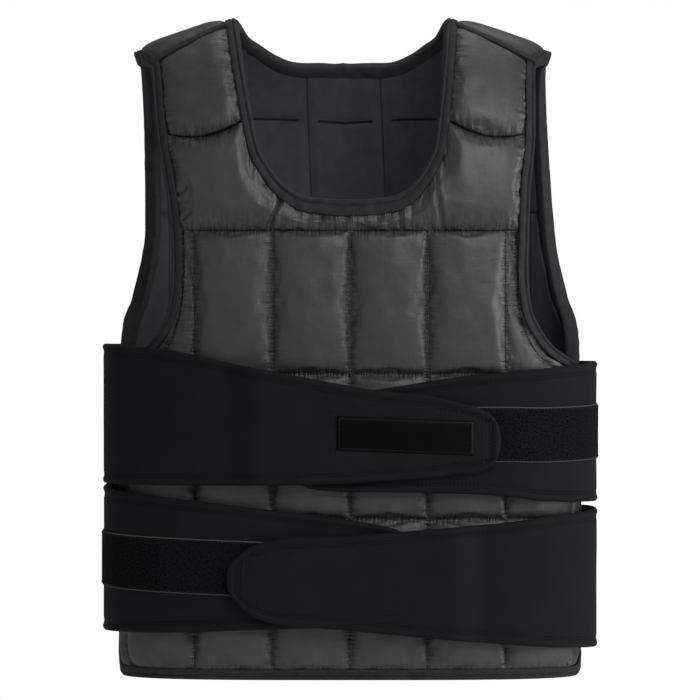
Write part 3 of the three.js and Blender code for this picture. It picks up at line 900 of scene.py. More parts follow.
def dress(piece: bpy.types.Object, finish: Finish, slot: str, *nodes: str) -> bpy.types.Object:
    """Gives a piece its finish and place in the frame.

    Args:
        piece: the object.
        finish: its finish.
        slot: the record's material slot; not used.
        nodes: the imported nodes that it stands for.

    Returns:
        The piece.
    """
    piece.data.materials.clear()
    piece.data.materials.append(finish.material())
    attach(piece, "root")
    if nodes:
        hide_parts(*nodes)
    LOG.info("made %s with %d faces", piece.name, len(piece.data.polygons))
    return piece


def doubled(field_values: Array, columns: int, rows: int) -> Array:
    """Spreads values of a grid smoothly over one with twice as many columns and rows.

    Args:
        field_values: one row of numbers for each point of the coarse grid.
        columns: columns of the coarse grid.
        rows: rows of the coarse grid.

    Returns:
        The values on the fine grid.
    """

    def finer(values: Array) -> Array:
        """Puts a value between each two, on the curve through the nearest four."""
        padded = np.concatenate([2 * values[:1] - values[1:2], values, 2 * values[-1:] - values[-2:-1]])
        between = (-padded[:-3] + 9 * padded[1:-2] + 9 * padded[2:-1] - padded[3:]) / 16
        fine = np.empty((2 * len(values) - 1, *values.shape[1:]))
        fine[::2], fine[1::2] = values, between
        return fine

    block = field_values.reshape(rows + 1, columns + 1, -1)
    wide = finer(finer(block).transpose(1, 0, 2)).transpose(1, 0, 2)
    return wide.reshape(-1, block.shape[2])


@dataclass(frozen=True)
class Padding:
    """How a padded piece is blown up and crumpled, lengths in millimetres.

    Pressure to sewn set the cloth simulation, the most_ values limit how far it moves the cloth, and the
    rest size the puckers beside the seams and the small folds that are added to it.
    """

    pressure: float = 3.0
    growth: float = 0.07
    frames: int = 18
    quality: int = 5
    mass: float = 0.15
    stretch_stiffness: float = 12.0
    shear_stiffness: float = 4.0
    bending_stiffness: float = 0.04
    sewn: float = 0.4
    most_out: float = 5.0
    most_in: float = 3.0
    most_side: float = 4.0
    pull: float = 2.2
    fold: float = 4.5
    gather: float = 1.6
    gather_pitch: float = 3.3
    gather_run: float = 22.0
    crumple: float = 0.7
    crumple_size: tuple[float, float] = (13.0, 17.0)
    free_run: float = 1.4


class PaddedCloth:
    """A padded piece: an outer cloth sewn down along its seams and blown up between them."""

    # Where the upward folds and the crumple start in the noise, apart from the folds across
    UPWARD_START = 40.0
    CRUMPLE_START = (9.0, 5.0)

    def __init__(self, name: str, face: Face, columns: int, rows: int, padding: Padding) -> None:
        """Keeps the grid of the piece, which is twice as fine in the end.

        Args:
            name: the piece and node name.
            face: the cloth that it is cut from.
            columns: columns of the coarse grid.
            rows: rows of the coarse grid.
            padding: how it is blown up and crumpled.
        """
        self.name = name
        self.face = face
        self.coarse = Grid(columns, rows)
        self.fine = Grid(2 * columns, 2 * rows)
        self.padding = padding
        self.moved: Array | None = None
        self.blown: bpy.types.Object | None = None

    def flat(self, u: Array, v: Array) -> Array:
        """Girth and height on the cloth at shares of the grid."""
        raise NotImplementedError

    def fullness(self, u: Array, v: Array) -> tuple[Array, Array, Array]:
        """Height over the form, and distances to the next seam beside and to the next above or below."""
        raise NotImplementedError

    def places(self, grid: Grid) -> Array:
        """Places of the outer cloth before it is blown up."""
        u, v = grid.shares
        flat = self.flat(u, v)
        return FORM.drape(self.face, flat[:, 0], flat[:, 1], self.fullness(u, v)[0])

    def hang_up(self) -> None:
        """Makes the cloth that the simulation blows up, pinned along its seams."""
        u, v = self.coarse.shares
        self.blown = self.coarse.mesh(f"{self.name}_blown", self.places(self.coarse), None, self.flat(u, v))
        _, side, end = self.fullness(u, v)
        pinned = np.flatnonzero(np.minimum(side, end)[self.coarse.order] < self.padding.sewn)
        group = self.blown.vertex_groups.new(name="seams")
        group.add(pinned.tolist(), 1.0, "REPLACE")
        cloth = self.blown.modifiers.new("blow", "CLOTH")
        settings = cloth.settings
        settings.quality = self.padding.quality
        settings.mass = self.padding.mass
        settings.tension_stiffness = self.padding.stretch_stiffness
        settings.compression_stiffness = self.padding.stretch_stiffness
        settings.shear_stiffness = self.padding.shear_stiffness
        settings.bending_stiffness = self.padding.bending_stiffness
        settings.vertex_group_mass = group.name
        settings.use_pressure = True
        settings.uniform_pressure_force = self.padding.pressure
        settings.shrink_min = -self.padding.growth
        settings.shrink_max = -self.padding.growth
        settings.effector_weights.gravity = 0.0
        cloth.collision_settings.use_collision = False

    def take_down(self) -> None:
        """Keeps how far each point has moved, within the padding's limits, and drops the cloth."""
        mesh = self.blown.evaluated_get(bpy.context.evaluated_depsgraph_get()).to_mesh()
        blown = np.zeros(len(mesh.vertices) * 3, np.float32)
        mesh.vertices.foreach_get("co", blown)
        moved = np.zeros((len(mesh.vertices), 3))
        moved[self.coarse.order] = blown.reshape(-1, 3)
        moved -= self.places(self.coarse)
        moved[~np.isfinite(moved).all(axis=1)] = 0
        u, v = self.coarse.shares
        flat = self.flat(u, v)
        normal = FORM.outward(self.face, flat[:, 0], flat[:, 1])
        out = (moved * normal).sum(axis=1, keepdims=True)
        side = moved - out * normal
        far = np.linalg.norm(side, axis=1, keepdims=True)
        side *= np.minimum(1, self.padding.most_side * MM / np.maximum(far, TINY))
        out = np.clip(out, -self.padding.most_in * MM, self.padding.most_out * MM)
        self.moved = side + out * normal
        bpy.data.objects.remove(self.blown)

    def finish(self, finish: Finish, slot: str, fill: float, nodes: tuple[str, ...]) -> bpy.types.Object:
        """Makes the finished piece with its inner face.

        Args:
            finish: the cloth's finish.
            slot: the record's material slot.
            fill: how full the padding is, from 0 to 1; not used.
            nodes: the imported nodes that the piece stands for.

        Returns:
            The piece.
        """
        u, v = self.fine.shares
        flat = self.flat(u, v)
        outer = self.places(self.fine)
        if self.moved is not None:
            outer = outer + doubled(self.moved, self.coarse.columns, self.coarse.rows)
        _, side, end = self.fullness(u, v)
        normal = FORM.outward(self.face, flat[:, 0], flat[:, 1])
        outer = outer + normal * (self.gathers(flat, side, end) * MM)[:, None]
        inner = FORM.drape(self.face, flat[:, 0], flat[:, 1], 0.0)
        piece = self.fine.mesh(self.name, outer, inner, flat)
        mark(piece, "beside_column", np.exp(-side / self.padding.pull)[self.fine.order])
        mark(piece, "beside_row", np.exp(-end / self.padding.pull)[self.fine.order])
        return dress(piece, finish, slot, *nodes)

    def gathers(self, flat: Array, side: Array, end: Array) -> Array:
        """Small folds that run away from the seams, in millimetres.

        Args:
            flat: girth and height of the points.
            side: their distance to the seam beside.
            end: their distance to the seam above or below.

        Returns:
            How far out each point moves.
        """
        pad = self.padding
        speckle = Speckle(len(self.name))
        girth, height = flat.T
        across = speckle.at(height / pad.gather_pitch, girth / pad.gather_run)
        upward = speckle.at(girth / pad.gather_pitch, height / pad.gather_run + self.UPWARD_START)
        wide, tall = pad.crumple_size
        aside, above = self.CRUMPLE_START
        crumple = speckle.at(girth / wide + aside, height / tall + above)
        free = 1 - np.exp(-np.minimum(side, end) / pad.free_run)
        near = np.exp(-side / pad.fold) * across + np.exp(-end / pad.fold) * upward
        return free * (pad.gather * near + pad.crumple * crumple)


def blow_up(pieces: list[PaddedCloth]) -> None:
    """Blows up all the padded pieces in one run of the cloth simulation.

    Args:
        pieces: the padded pieces, which keep how far their points have moved.
    """
    for piece in pieces:
        piece.hang_up()
    scene = bpy.context.scene
    for frame in range(1, max(piece.padding.frames for piece in pieces) + 1):
        scene.frame_set(frame)
    for piece in pieces:
        piece.take_down()
    scene.frame_set(1)
    LOG.info("blew up %d padded pieces", len(pieces))


# How far a seam sinks under the cloth, and how a padded piece rises from it: the run of its steep wall in
# millimetres, the wall's share of a pocket's rise, and how round the pocket's crown is
SEAM_SINK = 1.5
WALL_RUN = 2.6
POCKET_WALL = 0.62
CROWN_POWER = 0.8
# How strongly a grid's points crowd towards the seams, from 0 to 1
CROWDING = 0.55


def plump(distance: Array, size: Array) -> Array:
    """Profile of a filled pocket: a steep wall beside the seam, then a broad crown.

    Args:
        distance: distance to the nearer of two seams.
        size: distance between the two seams.

    Returns:
        The share of the full height.
    """
    wall = 1 - np.exp(-distance / WALL_RUN)
    crown = np.sin(math.pi * np.clip(distance / size, 0, 1)).clip(0) ** CROWN_POWER
    return POCKET_WALL * wall + (1 - POCKET_WALL) * crown


def crowded(share: Array) -> Array:
    """Shares moved towards both ends, so that a grid is finer beside the seams."""
    return share - CROWDING * np.sin(2 * math.pi * share) / (2 * math.pi)


class PocketSpots(NamedTuple):
    """Where points lie: girth and height on the cloth, and shares and sizes of their pockets."""

    girth: Array
    height: Array
    share: Array
    width: Array
    up: Array
    tall: Array


class PocketPanel(PaddedCloth):
    """The panel of weight pockets of one cloth, with its sizes in millimetres."""

    PITCH = 70.0
    NARROWEST = 6.0
    TUCK = 8.0
    LOWEST = 8.5
    OUTER_SHARE = 0.28
    NARROW_POWER = 0.8
    SHOWN_RISE = 0.85
    PADDING = Padding(pressure=0.8, growth=0.004, most_out=1.5, most_side=0.8)

    def __init__(self, name: str, cloth: ClothOutline, seams: list[float], columns: int, rows: int) -> None:
        """Takes the cloth's outline and the heights of the panel's bottom, row seams and top.

        Args:
            name: the piece and node name.
            cloth: outline of the cloth.
            seams: heights of the seams, from the bottom up.
            columns: columns of the coarse grid.
            rows: rows of the coarse grid.
        """
        super().__init__(name, cloth.face, columns, rows, self.PADDING)
        line = cloth.arm_line(self.TUCK)
        self.line = line[line[:, 1] > self.LOWEST]
        self.seams = seams

    def seam_girths(self, height: Array) -> Array:
        """Girths of the panel's edges and upright seams at heights, from left to right."""
        edge = -reach_at(self.line, height)
        last = np.minimum(2 * self.PITCH, edge - self.NARROWEST)
        outer = np.minimum(3 * self.PITCH, edge - self.OUTER_SHARE * (edge - last))
        pitch = np.full_like(edge, self.PITCH)
        return np.stack([-edge, -outer, -last, -pitch, 0 * edge, pitch, last, outer, edge])

    def spots(self, u: Array, v: Array) -> PocketSpots:
        """Place of each point on the cloth and within its pocket.

        Args:
            u: shares across the grid.
            v: shares up the grid.

        Returns:
            The place of each point.
        """
        rows = len(self.seams) - 1
        row = np.clip((v * rows + TINY).astype(int), 0, rows - 1)
        up = crowded(np.clip(v * rows - row, 0, 1))
        base = np.take(self.seams, row)
        tall = np.take(self.seams, row + 1) - base
        height = base + tall * up
        girths = self.seam_girths(height)
        pockets = len(girths) - 1
        pocket = np.clip((u * pockets + TINY).astype(int), 0, pockets - 1)
        share = crowded(np.clip(u * pockets - pocket, 0, 1))
        left = np.take_along_axis(girths, pocket[None], 0)[0]
        width = np.take_along_axis(girths, pocket[None] + 1, 0)[0] - left
        return PocketSpots(left + width * share, height, share, width, up, tall)

    def flat(self, u: Array, v: Array) -> Array:
        """Girth and height on the cloth at shares of the grid."""
        return np.stack(self.spots(u, v)[:2], axis=1)

    def fullness(self, u: Array, v: Array) -> tuple[Array, Array, Array]:
        """Height over the form, and distances to the seams beside and above or below.

        Args:
            u: shares across the grid.
            v: shares up the grid.

        Returns:
            The heights in millimetres, and the two distances.
        """
        spots = self.spots(u, v)
        full = np.minimum(1, spots.width / self.PITCH) ** self.NARROW_POWER
        side = np.minimum(spots.share, 1 - spots.share) * spots.width
        end = np.minimum(spots.up, 1 - spots.up) * spots.tall
        rise = LAYERS.pocket_rise * full * plump(side, spots.width) * plump(end, spots.tall)
        return LAYERS.seam - SEAM_SINK + rise * self.SHOWN_RISE, side, end


class Quarter(NamedTuple):
    """The four edges of a padded piece on flat cloth, bottom and top from left to right."""

    bottom: Callable[[Array], Array]
    top: Callable[[Array], Array]
    left: Callable[[Array], Array]
    right: Callable[[Array], Array]

    def at(self, u: Array, v: Array) -> Array:
        """Blends the four edges at shares across and up the piece.

        Args:
            u: shares across the piece.
            v: shares up the piece.

        Returns:
            Girth and height of each point.
        """
        u, v = u[:, None], v[:, None]
        one = np.array([0.0]), np.array([1.0])
        corner = {
            (a, b): (self.top if b else self.bottom)(one[a])[0] for a in (0, 1) for b in (0, 1)
        }
        edges = (1 - v) * self.bottom(u[:, 0]) + v * self.top(u[:, 0])
        edges = edges + (1 - u) * self.left(v[:, 0]) + u * self.right(v[:, 0])
        corners = (1 - u) * (1 - v) * corner[0, 0] + u * (1 - v) * corner[1, 0]
        return edges - corners - (1 - u) * v * corner[0, 1] - u * v * corner[1, 1]


def line_edge(line: Array) -> Callable[[Array], Array]:
    """An edge that follows a line evenly."""
    return lambda share: along(line, share)


def between(line: Array, low: float, high: float) -> Array:
    """The part of a falling line between two heights, rising.

    Args:
        line: the falling line.
        low: lower height.
        high: upper height.

    Returns:
        The points from low to high.
    """
    inside = line[(line[:, 1] > low) & (line[:, 1] < high)]
    ends = [np.array([[reach_at(line, h), h]]) for h in (high, low)]
    return np.vstack([ends[0], inside, ends[1]])[::-1]


def straight(start: Array, end: Array) -> Callable[[Array], Array]:
    """A straight edge."""
    return sagging(start, end, 0.0)


def sagging(start: Array, end: Array, sag: float) -> Callable[[Array], Array]:
    """An edge between two points that sags in its middle."""

    def at(share: Array) -> Array:
        """Points at shares of the edge."""
        share = np.clip(share, 0, 1)[:, None]
        return start + (end - start) * share - np.array([0.0, 4 * sag]) * share * (1 - share)

    return at


@dataclass
class CorneredTop:
    """A top edge of a straight shoulder, the neckline and a straight shoulder."""

    corner: Array
    neckline: Array
    sag: float
    shoulder: float = 5 / 24

    def __call__(self, share: Array) -> Array:
        """Points at shares from left to right."""
        slope = sagging(self.corner, self.neckline[0], self.sag)
        left, right = slope(share / self.shoulder), mirrored(slope((1 - share) / self.shoulder))
        middle = along(self.neckline, (share - self.shoulder) / (1 - 2 * self.shoulder))
        inside = (share > self.shoulder) & (share < 1 - self.shoulder)
        return np.where(inside[:, None], middle, np.where((share <= 0.5)[:, None], left, right))


class Crease(NamedTuple):
    """A sharp fold in the cloth between two points, as girth and height in millimetres.

    A low ridge runs beside its groove, sized by the groove, and the fold dies away at both ends.
    """

    start: tuple[float, float]
    end: tuple[float, float]
    deep: float = 3.0
    half_width: float = 1.7
    ridge_rise: float = 0.25
    ridge_away: float = 2.4
    ridge_width: float = 1.3
    fade: float = 6.0

    def depth(self, spots: Array) -> Array:
        """How far the fold goes in at points on the cloth.

        Args:
            spots: girth and height of the points.

        Returns:
            One depth for each point.
        """
        run = np.subtract(self.end, self.start)
        gone = spots - np.array(self.start)
        share = (gone @ run) / (run @ run)
        off = (gone[:, 0] * run[1] - gone[:, 1] * run[0]) / np.sqrt(run @ run) / self.half_width
        within = np.clip(share * (1 - share) * self.fade, 0, 1)
        groove = np.exp(-(off**2))
        ridge = self.ridge_rise * np.exp(-(((off - self.ridge_away) / self.ridge_width) ** 2))
        return self.deep * within * (groove - ridge)


CHEST_CREASES = (
    Crease((-76.0, 404.0), (-58.0, 432.0), 4.0), Crease((-27.5, 407.0), (-22.0, 422.0), 2.0, 1.3),
    Crease((-6.0, 404.0), (1.5, 423.0), 2.6, 1.5), Crease((10.0, 416.0), (14.0, 425.0), 2.0, 1.3),
    Crease((47.0, 405.0), (40.0, 430.0), 3.4), Crease((84.0, 402.0), (79.0, 432.0), 2.2, 1.8),
    Crease((-158.0, 432.0), (-143.0, 437.0), 2.6, 1.5), Crease((-152.0, 414.0), (-140.0, 420.0), 2.2, 1.5),
)


class PaddedQuarter(PaddedCloth):
    """A padded piece without pockets, such as the chest, the yoke or a shoulder."""

    WALL_SHARE = 0.55
    EDGE_STATIONS = 90

    def __init__(
        self, name: str, face: Face, edges: Quarter, columns: int, rows: int, run_in: float, padding: Padding,
        creases: tuple[Crease, ...] = (),
    ) -> None:
        """Takes the piece's edges, how far in they hold it down, its padding and its sharp folds.

        Args:
            name: the piece and node name.
            face: the cloth that it is cut from.
            edges: its four edges.
            columns: columns of the coarse grid.
            rows: rows of the coarse grid.
            run_in: how far in from its edges it reaches full height.
            padding: how it is blown up and crumpled.
            creases: its sharp folds.
        """
        super().__init__(name, face, columns, rows, padding)
        self.edges = edges
        self.run_in = run_in
        self.creases = creases

    def flat(self, u: Array, v: Array) -> Array:
        """Girth and height on the cloth at shares of the grid."""
        return self.edges.at(crowded(u), crowded(v))

    def fullness(self, u: Array, v: Array) -> tuple[Array, Array, Array]:
        """Height over the form, and distances to the side edges and to the bottom and top.

        Args:
            u: shares across the grid.
            v: shares up the grid.

        Returns:
            The heights in millimetres, and the two distances.
        """
        spots = self.flat(u, v)
        side = np.minimum(self.away(spots, self.edges.left), self.away(spots, self.edges.right))
        end = np.minimum(self.away(spots, self.edges.bottom), self.away(spots, self.edges.top))
        rise = LAYERS.yoke_rise * self.profile(side) * self.profile(end)
        for crease in self.creases:
            rise = rise - crease.depth(spots)
        return LAYERS.seam - SEAM_SINK + np.maximum(rise, 0), side, end

    def away(self, spots: Array, edge: Callable[[Array], Array]) -> Array:
        """Distances of points on the cloth from one of the piece's edges.

        Args:
            spots: girth and height of the points.
            edge: the edge.

        Returns:
            One distance for each point.
        """
        line = edge(np.linspace(0, 1, self.EDGE_STATIONS))
        start, step = line[:-1], np.diff(line, axis=0)
        length = np.maximum((step**2).sum(axis=1), TINY)
        nearest = np.full(len(spots), np.inf)
        for first, along_edge, square in zip(start, step, length):
            gone = spots - first
            share = np.clip((gone @ along_edge) / square, 0, 1)[:, None]
            nearest = np.minimum(nearest, ((gone - share * along_edge) ** 2).sum(axis=1))
        return np.sqrt(nearest)

    def profile(self, distance: Array) -> Array:
        """Rise from an edge to full height."""
        wall = 1 - np.exp(-distance / WALL_RUN)
        slope = np.sin(np.clip(distance / self.run_in, 0, 1) * math.pi / 2)
        return self.WALL_SHARE * wall + (1 - self.WALL_SHARE) * slope


@dataclass
class QuiltedBody:
    """The quilted front and back, with the lining. Lengths are in millimetres."""

    row_low: float = 145.0
    row_high: float = 276.0
    back_top_seam: float = 424.0
    puff_seam: float = 484.0
    puff_sag: float = 8.0
    tuck: float = 8.0
    seam_room: float = 3.0
    pocket_fill: float = 0.75
    plain_fill: float = 0.6
    front_run_in: float = 20.0
    yoke_run_in: float = 24.0
    chest_padding: Padding = Padding(pressure=1.0, growth=0.006, most_out=2.0, pull=3.0, gather=2.2)
    shoulder_padding: Padding = Padding(pressure=1.5, growth=0.008, pull=3.0, gather=2.2)
    yoke_padding: Padding = Padding(pressure=1.0, growth=0.0, most_out=1.0, gather=0.4, crumple=0.3)
    column_dent: float = 1.1
    column_dent_width: float = 3.5
    row_dent: float = 1.5
    row_dent_width: float = 2.5
    lining_wave: float = 0.5
    lining_wave_size: float = 24.0
    lining_seed: int = 31

    def padded(self) -> list[tuple[PaddedCloth, float]]:
        """All the padded pieces with how full each is."""
        rows = [self.tuck, self.row_low, self.row_high]
        front = PocketPanel("front_panel", FRONT_CLOTH, [*rows, FORM.chest_height], columns=112, rows=84)
        back = PocketPanel("back_panel", BACK_CLOTH, [*rows, self.back_top_seam], columns=104, rows=72)
        return [
            (front, self.pocket_fill),
            (self.front_chest(), self.plain_fill),
            (self.front_shoulder("front_shoulder_left", Hand.LEFT), self.plain_fill),
            (self.front_shoulder("front_shoulder_right", Hand.RIGHT), self.plain_fill),
            (back, self.pocket_fill),
            (self.back_yoke(), self.plain_fill),
        ]

    def front_chest(self) -> PaddedQuarter:
        """The chest piece under the neckline."""
        left = between(FRONT_CLOTH.arm_line(self.tuck), FORM.chest_height, self.puff_seam)
        neck = FRONT_CLOTH.neck_line(self.tuck)
        under = neck[neck[:, 1] < self.puff_seam]
        edges = Quarter(
            straight(left[0], mirrored(left[0])), CorneredTop(left[-1], under, self.puff_sag),
            line_edge(left), line_edge(mirrored(left)),
        )
        return PaddedQuarter(
            "front_chest", Face.FRONT, edges, columns=112, rows=38, run_in=self.front_run_in,
            padding=self.chest_padding, creases=CHEST_CREASES,
        )

    def front_shoulder(self, name: str, hand: Hand) -> PaddedQuarter:
        """One strap piece, from the chest to the shoulder seam.

        Args:
            name: the node name.
            hand: the side that it is on.

        Returns:
            The padded piece.
        """
        arm_top = FORM.ridge_cloth - SEAM_DROP_ARM - self.seam_room
        neck_top = FORM.ridge_cloth - SEAM_DROP_NECK - self.seam_room
        half = FRONT_CLOTH.neck_line(self.tuck)
        arm = between(FRONT_CLOTH.arm_line(self.tuck), self.puff_seam, arm_top)
        neck = between(half[: len(half) // 2], self.puff_seam, neck_top)
        left, right = (arm, neck) if hand is Hand.LEFT else (mirrored(neck), mirrored(arm))
        edges = Quarter(
            sagging(left[0], right[0], self.puff_sag), straight(left[-1], right[-1]),
            line_edge(left), line_edge(right),
        )
        return PaddedQuarter(
            name, Face.FRONT, edges, columns=34, rows=44, run_in=self.front_run_in,
            padding=self.shoulder_padding,
        )

    def upper_back_edges(self) -> Quarter:
        """Edges of the upper back, over the shoulders to the front seams."""
        high = FORM.ridge_cloth + SEAM_DROP_ARM - self.seam_room
        left = between(BACK_CLOTH.arm_line(self.tuck), self.back_top_seam, high)
        neck = BACK_CLOTH.neck_line(self.tuck)
        over = np.array([[neck[0, 0], FORM.ridge_cloth + SEAM_DROP_NECK - self.seam_room]])
        top = np.vstack([over, neck, mirrored(over)])
        return Quarter(
            straight(left[0], mirrored(left[0])), CorneredTop(left[-1], top, 0.0),
            line_edge(left), line_edge(mirrored(left)),
        )

    def lower_back_edges(self) -> Quarter:
        """Edges of the back under the yoke's seam."""
        left = between(BACK_CLOTH.arm_line(self.tuck), self.tuck, self.back_top_seam)
        return Quarter(
            straight(left[0], mirrored(left[0])), straight(left[-1], mirrored(left[-1])),
            line_edge(left), line_edge(mirrored(left)),
        )

    def back_yoke(self) -> PaddedQuarter:
        """The padded upper back."""
        return PaddedQuarter(
            "back_yoke", Face.BACK, self.upper_back_edges(), columns=72, rows=44, run_in=self.yoke_run_in,
            padding=self.yoke_padding,
        )

    def lining_dents(self, flat: Array) -> Array:
        """How far the sewn columns, rows and dashes pull the lining in at points on the cloth.

        Args:
            flat: girth and height of the points.

        Returns:
            One depth for each point.
        """
        girth, height = flat.T
        beside = (girth + LINING_SEAMS.pitch / 2) % LINING_SEAMS.pitch
        beside = np.minimum(beside, LINING_SEAMS.pitch - beside)
        rows = [(level, 1.0) for level in (self.row_low, self.row_high, self.back_top_seam)]
        dashes = LINING_SEAMS.dash_height + LINING_SEAMS.dash_rise * np.abs(girth)
        rows.append((dashes, beside > LINING_SEAMS.dash_gap))
        dent = self.column_dent * np.exp(-((beside / self.column_dent_width) ** 2))
        for level, sewn in rows:
            dip = self.row_dent * np.exp(-(((height - level) / self.row_dent_width) ** 2))
            dent = np.maximum(dent, sewn * dip)
        return dent

    def lining(self) -> None:
        """The smooth lining of the back, sewn through in rows and columns."""
        lower, upper = self.lower_back_edges(), self.upper_back_edges()
        for name, edges, rows in (("back_lining_lower", lower, 84), ("back_lining_upper", upper, 60)):
            grid = Grid(columns=108, rows=rows)
            flat = edges.at(*grid.shares)
            girth, height = flat.T
            size = self.lining_wave_size
            wave = self.lining_wave * Speckle(self.lining_seed).at(girth / size, height / size)
            inner = self.lining_dents(flat) + wave - LAYERS.lining_gap - LAYERS.lining
            places = [FORM.drape(Face.BACK, girth, height, out) for out in (inner + LAYERS.lining, inner)]
            piece = grid.mesh(name, *places, flat)
            dress(piece, LINING, "lining_knit", name)

    def build(self) -> None:
        """Makes the padded pieces and the lining."""
        made = self.padded()
        blow_up([piece for piece, _ in made])
        for piece, fill in made:
            piece.finish(NYLON, "shell_nylon", fill, (piece.name,))
        self.lining()


# Edge tape


@dataclass
class EdgeTape:
    """Tape folded over the free edges: an outer leaf, a fold round the edge and an inner leaf.

    Lengths are in millimetres, and the seam_ values are those of the flat tapes on the shoulder seams.
    """

    width: float = 10.0
    outer: float = 8.2
    inner: float = -5.6
    thickness: float = 1.1
    step: float = 2.2
    stitch_inset: float = 3.6
    wave: float = 0.35
    wave_run: float = 7.0
    wave_stations: int = 4
    under_wave: float = 0.4
    wave_seed: int = 7
    cloth_step: float = 2.4
    meeting: float = 0.01
    seam_lift: float = 1.4
    seam_inset: float = 8.5
    seam_tuck: float = 2.0
    seam_drop: float = 3.0
    seam_base: float = 1.0
    seam_rise: float = 2.2
    seam_edge: float = 1.2
    seam_wave: float = 0.3
    seam_waves: tuple[float, float] = (9.0, 2.0)
    seam_seed: int = 11

    def profile(self) -> Array:
        """Distance in from the free edge and height over the form, round the fold.

        The outer leaf is flat, with a slight groove where its stitches pull it down.
        """
        top, low, width = self.outer, self.inner, self.width
        leaf = [
            (width, top - 1.6), (width - 0.3, top - 0.6), (width - 0.9, top - 0.1), (width - 1.7, top),
            (self.stitch_inset + 0.9, top), (self.stitch_inset + 0.3, top - 0.9),
            (self.stitch_inset - 0.3, top - 0.9), (self.stitch_inset - 0.9, top - 0.1), (1.4, top - 0.2),
        ]
        fold = [(0.5, top - 1.2), (0.0, top - 3.4), (0.0, low + 3.4), (0.5, low + 1.2)]
        under = [(1.6, low), (5.0, low), (width - 0.9, low + 0.1), (width, low + 1.0)]
        return np.array([*leaf, *fold, *under])

    def sew(self, name: str, parts: list[tuple[Face, Array, float]], closed: bool) -> bpy.types.Object:
        """Makes one tape.

        Args:
            name: the piece and node name.
            parts: for each stretch, its cloth, its free edge and the side that the cloth is on.
            closed: whether the tape closes on itself.

        Returns:
            The piece.
        """
        speckle = Speckle(self.wave_seed)
        leaves, strips, start = [], [], 0.0
        for face, line, side in parts:
            line = evened(line, self.step)
            line = line[:-1] if closed else line
            run = start + run_of(line)
            start = run[-1] + self.step
            leaf, strip = [], []
            for index, (inset, out) in enumerate(self.profile()):
                flat = offset(line, side * inset)
                wave = self.wave * speckle.at(run / self.wave_run, index / self.wave_stations)
                out = out + wave * (1 if out > 0 else self.under_wave)
                leaf.append(FORM.drape(face, flat[:, 0], flat[:, 1], out))
                strip.append(np.stack([run, np.full_like(run, index * self.cloth_step)], axis=1))
            leaves.append(np.stack(leaf))
            strips.append(np.stack(strip))
        points, flat = np.concatenate(leaves, axis=1), np.concatenate(strips, axis=1)
        if closed:
            points = np.concatenate([points, points[:, :1]], axis=1)
            flat = np.concatenate([flat, flat[:, -1:] + [self.step, 0]], axis=1)
        grid = Grid(points.shape[1] - 1, len(points) - 1)
        piece = grid.mesh(name, points.reshape(-1, 3), None, flat.reshape(-1, 2))
        bm = bmesh.new()
        bm.from_mesh(piece.data)
        if closed:
            bmesh.ops.remove_doubles(bm, verts=bm.verts, dist=self.meeting * MM)
        if any(side > 0 for _, _, side in parts):
            bmesh.ops.reverse_faces(bm, faces=bm.faces)
        bmesh.ops.solidify(bm, geom=bm.faces, thickness=self.thickness * MM)
        bm.to_mesh(piece.data)
        bm.free()
        piece.data.polygons.foreach_set("use_smooth", [True] * len(piece.data.polygons))
        return dress(piece, TAPE, "edge_tape", name)

    def build(self) -> None:
        """Sews the tapes of the neck, the edges and the shoulder seams."""
        self.sew("neck_binding", [(Face.FRONT, FRONT_CLOTH.neck, -1), (Face.BACK, BACK_CLOTH.neck, -1)], True)
        self.sew("front_edge_binding", [(Face.FRONT, FRONT_CLOTH.whole_edge, 1)], False)
        self.sew("back_edge_binding", [(Face.BACK, BACK_CLOTH.whole_edge, 1)], False)
        for name, hand in (("shoulder_seam_left", Hand.LEFT), ("shoulder_seam_right", Hand.RIGHT)):
            self.seam_tape(name, hand)

    def seam_tape(self, name: str, hand: Hand) -> None:
        """Flat tape over one shoulder seam.

        Args:
            name: the piece and node name.
            hand: the side that it is on.
        """
        arm_height, neck_height = FORM.ridge_cloth - SEAM_DROP_ARM, FORM.ridge_cloth - SEAM_DROP_NECK
        arm, neck = FRONT_CLOTH.arm_line(self.seam_tuck), FRONT_CLOTH.neck_line(self.seam_inset)
        ends = np.array([
            [reach_at(arm, arm_height - self.seam_drop), arm_height],
            [reach_at(neck[: len(neck) // 2], neck_height), neck_height],
        ])
        ends = ends if hand is Hand.LEFT else mirrored(ends)[::-1]
        grid = Grid(columns=40, rows=14)
        u, v = grid.shares
        flat = ends[0] + (ends[1] - ends[0]) * u[:, None]
        flat[:, 1] += (v - 0.5) * self.width
        hump = self.seam_rise * np.clip(np.minimum(v, 1 - v) * self.width / self.seam_edge, 0, 1) ** 0.5
        wave = self.seam_wave * Speckle(self.seam_seed).at(u * self.seam_waves[0], v * self.seam_waves[1])
        girth, height = flat.T
        outer = FORM.drape(Face.FRONT, girth, height, LAYERS.seam + self.seam_lift + hump + wave)
        inner = FORM.drape(Face.FRONT, girth, height, self.seam_base)
        piece = grid.mesh(name, outer, inner, flat)
        dress(piece, TAPE, "edge_tape", name)


# Belts


class WingRow(NamedTuple):
    """A place along a wing: share from the side to the tip, fall of its top and lift of its bottom."""

    along: float
    fall: float
    lift: float


# Distance of the wings' roots from the centre line of the back, in millimetres
ROOT_GAP = 104.5


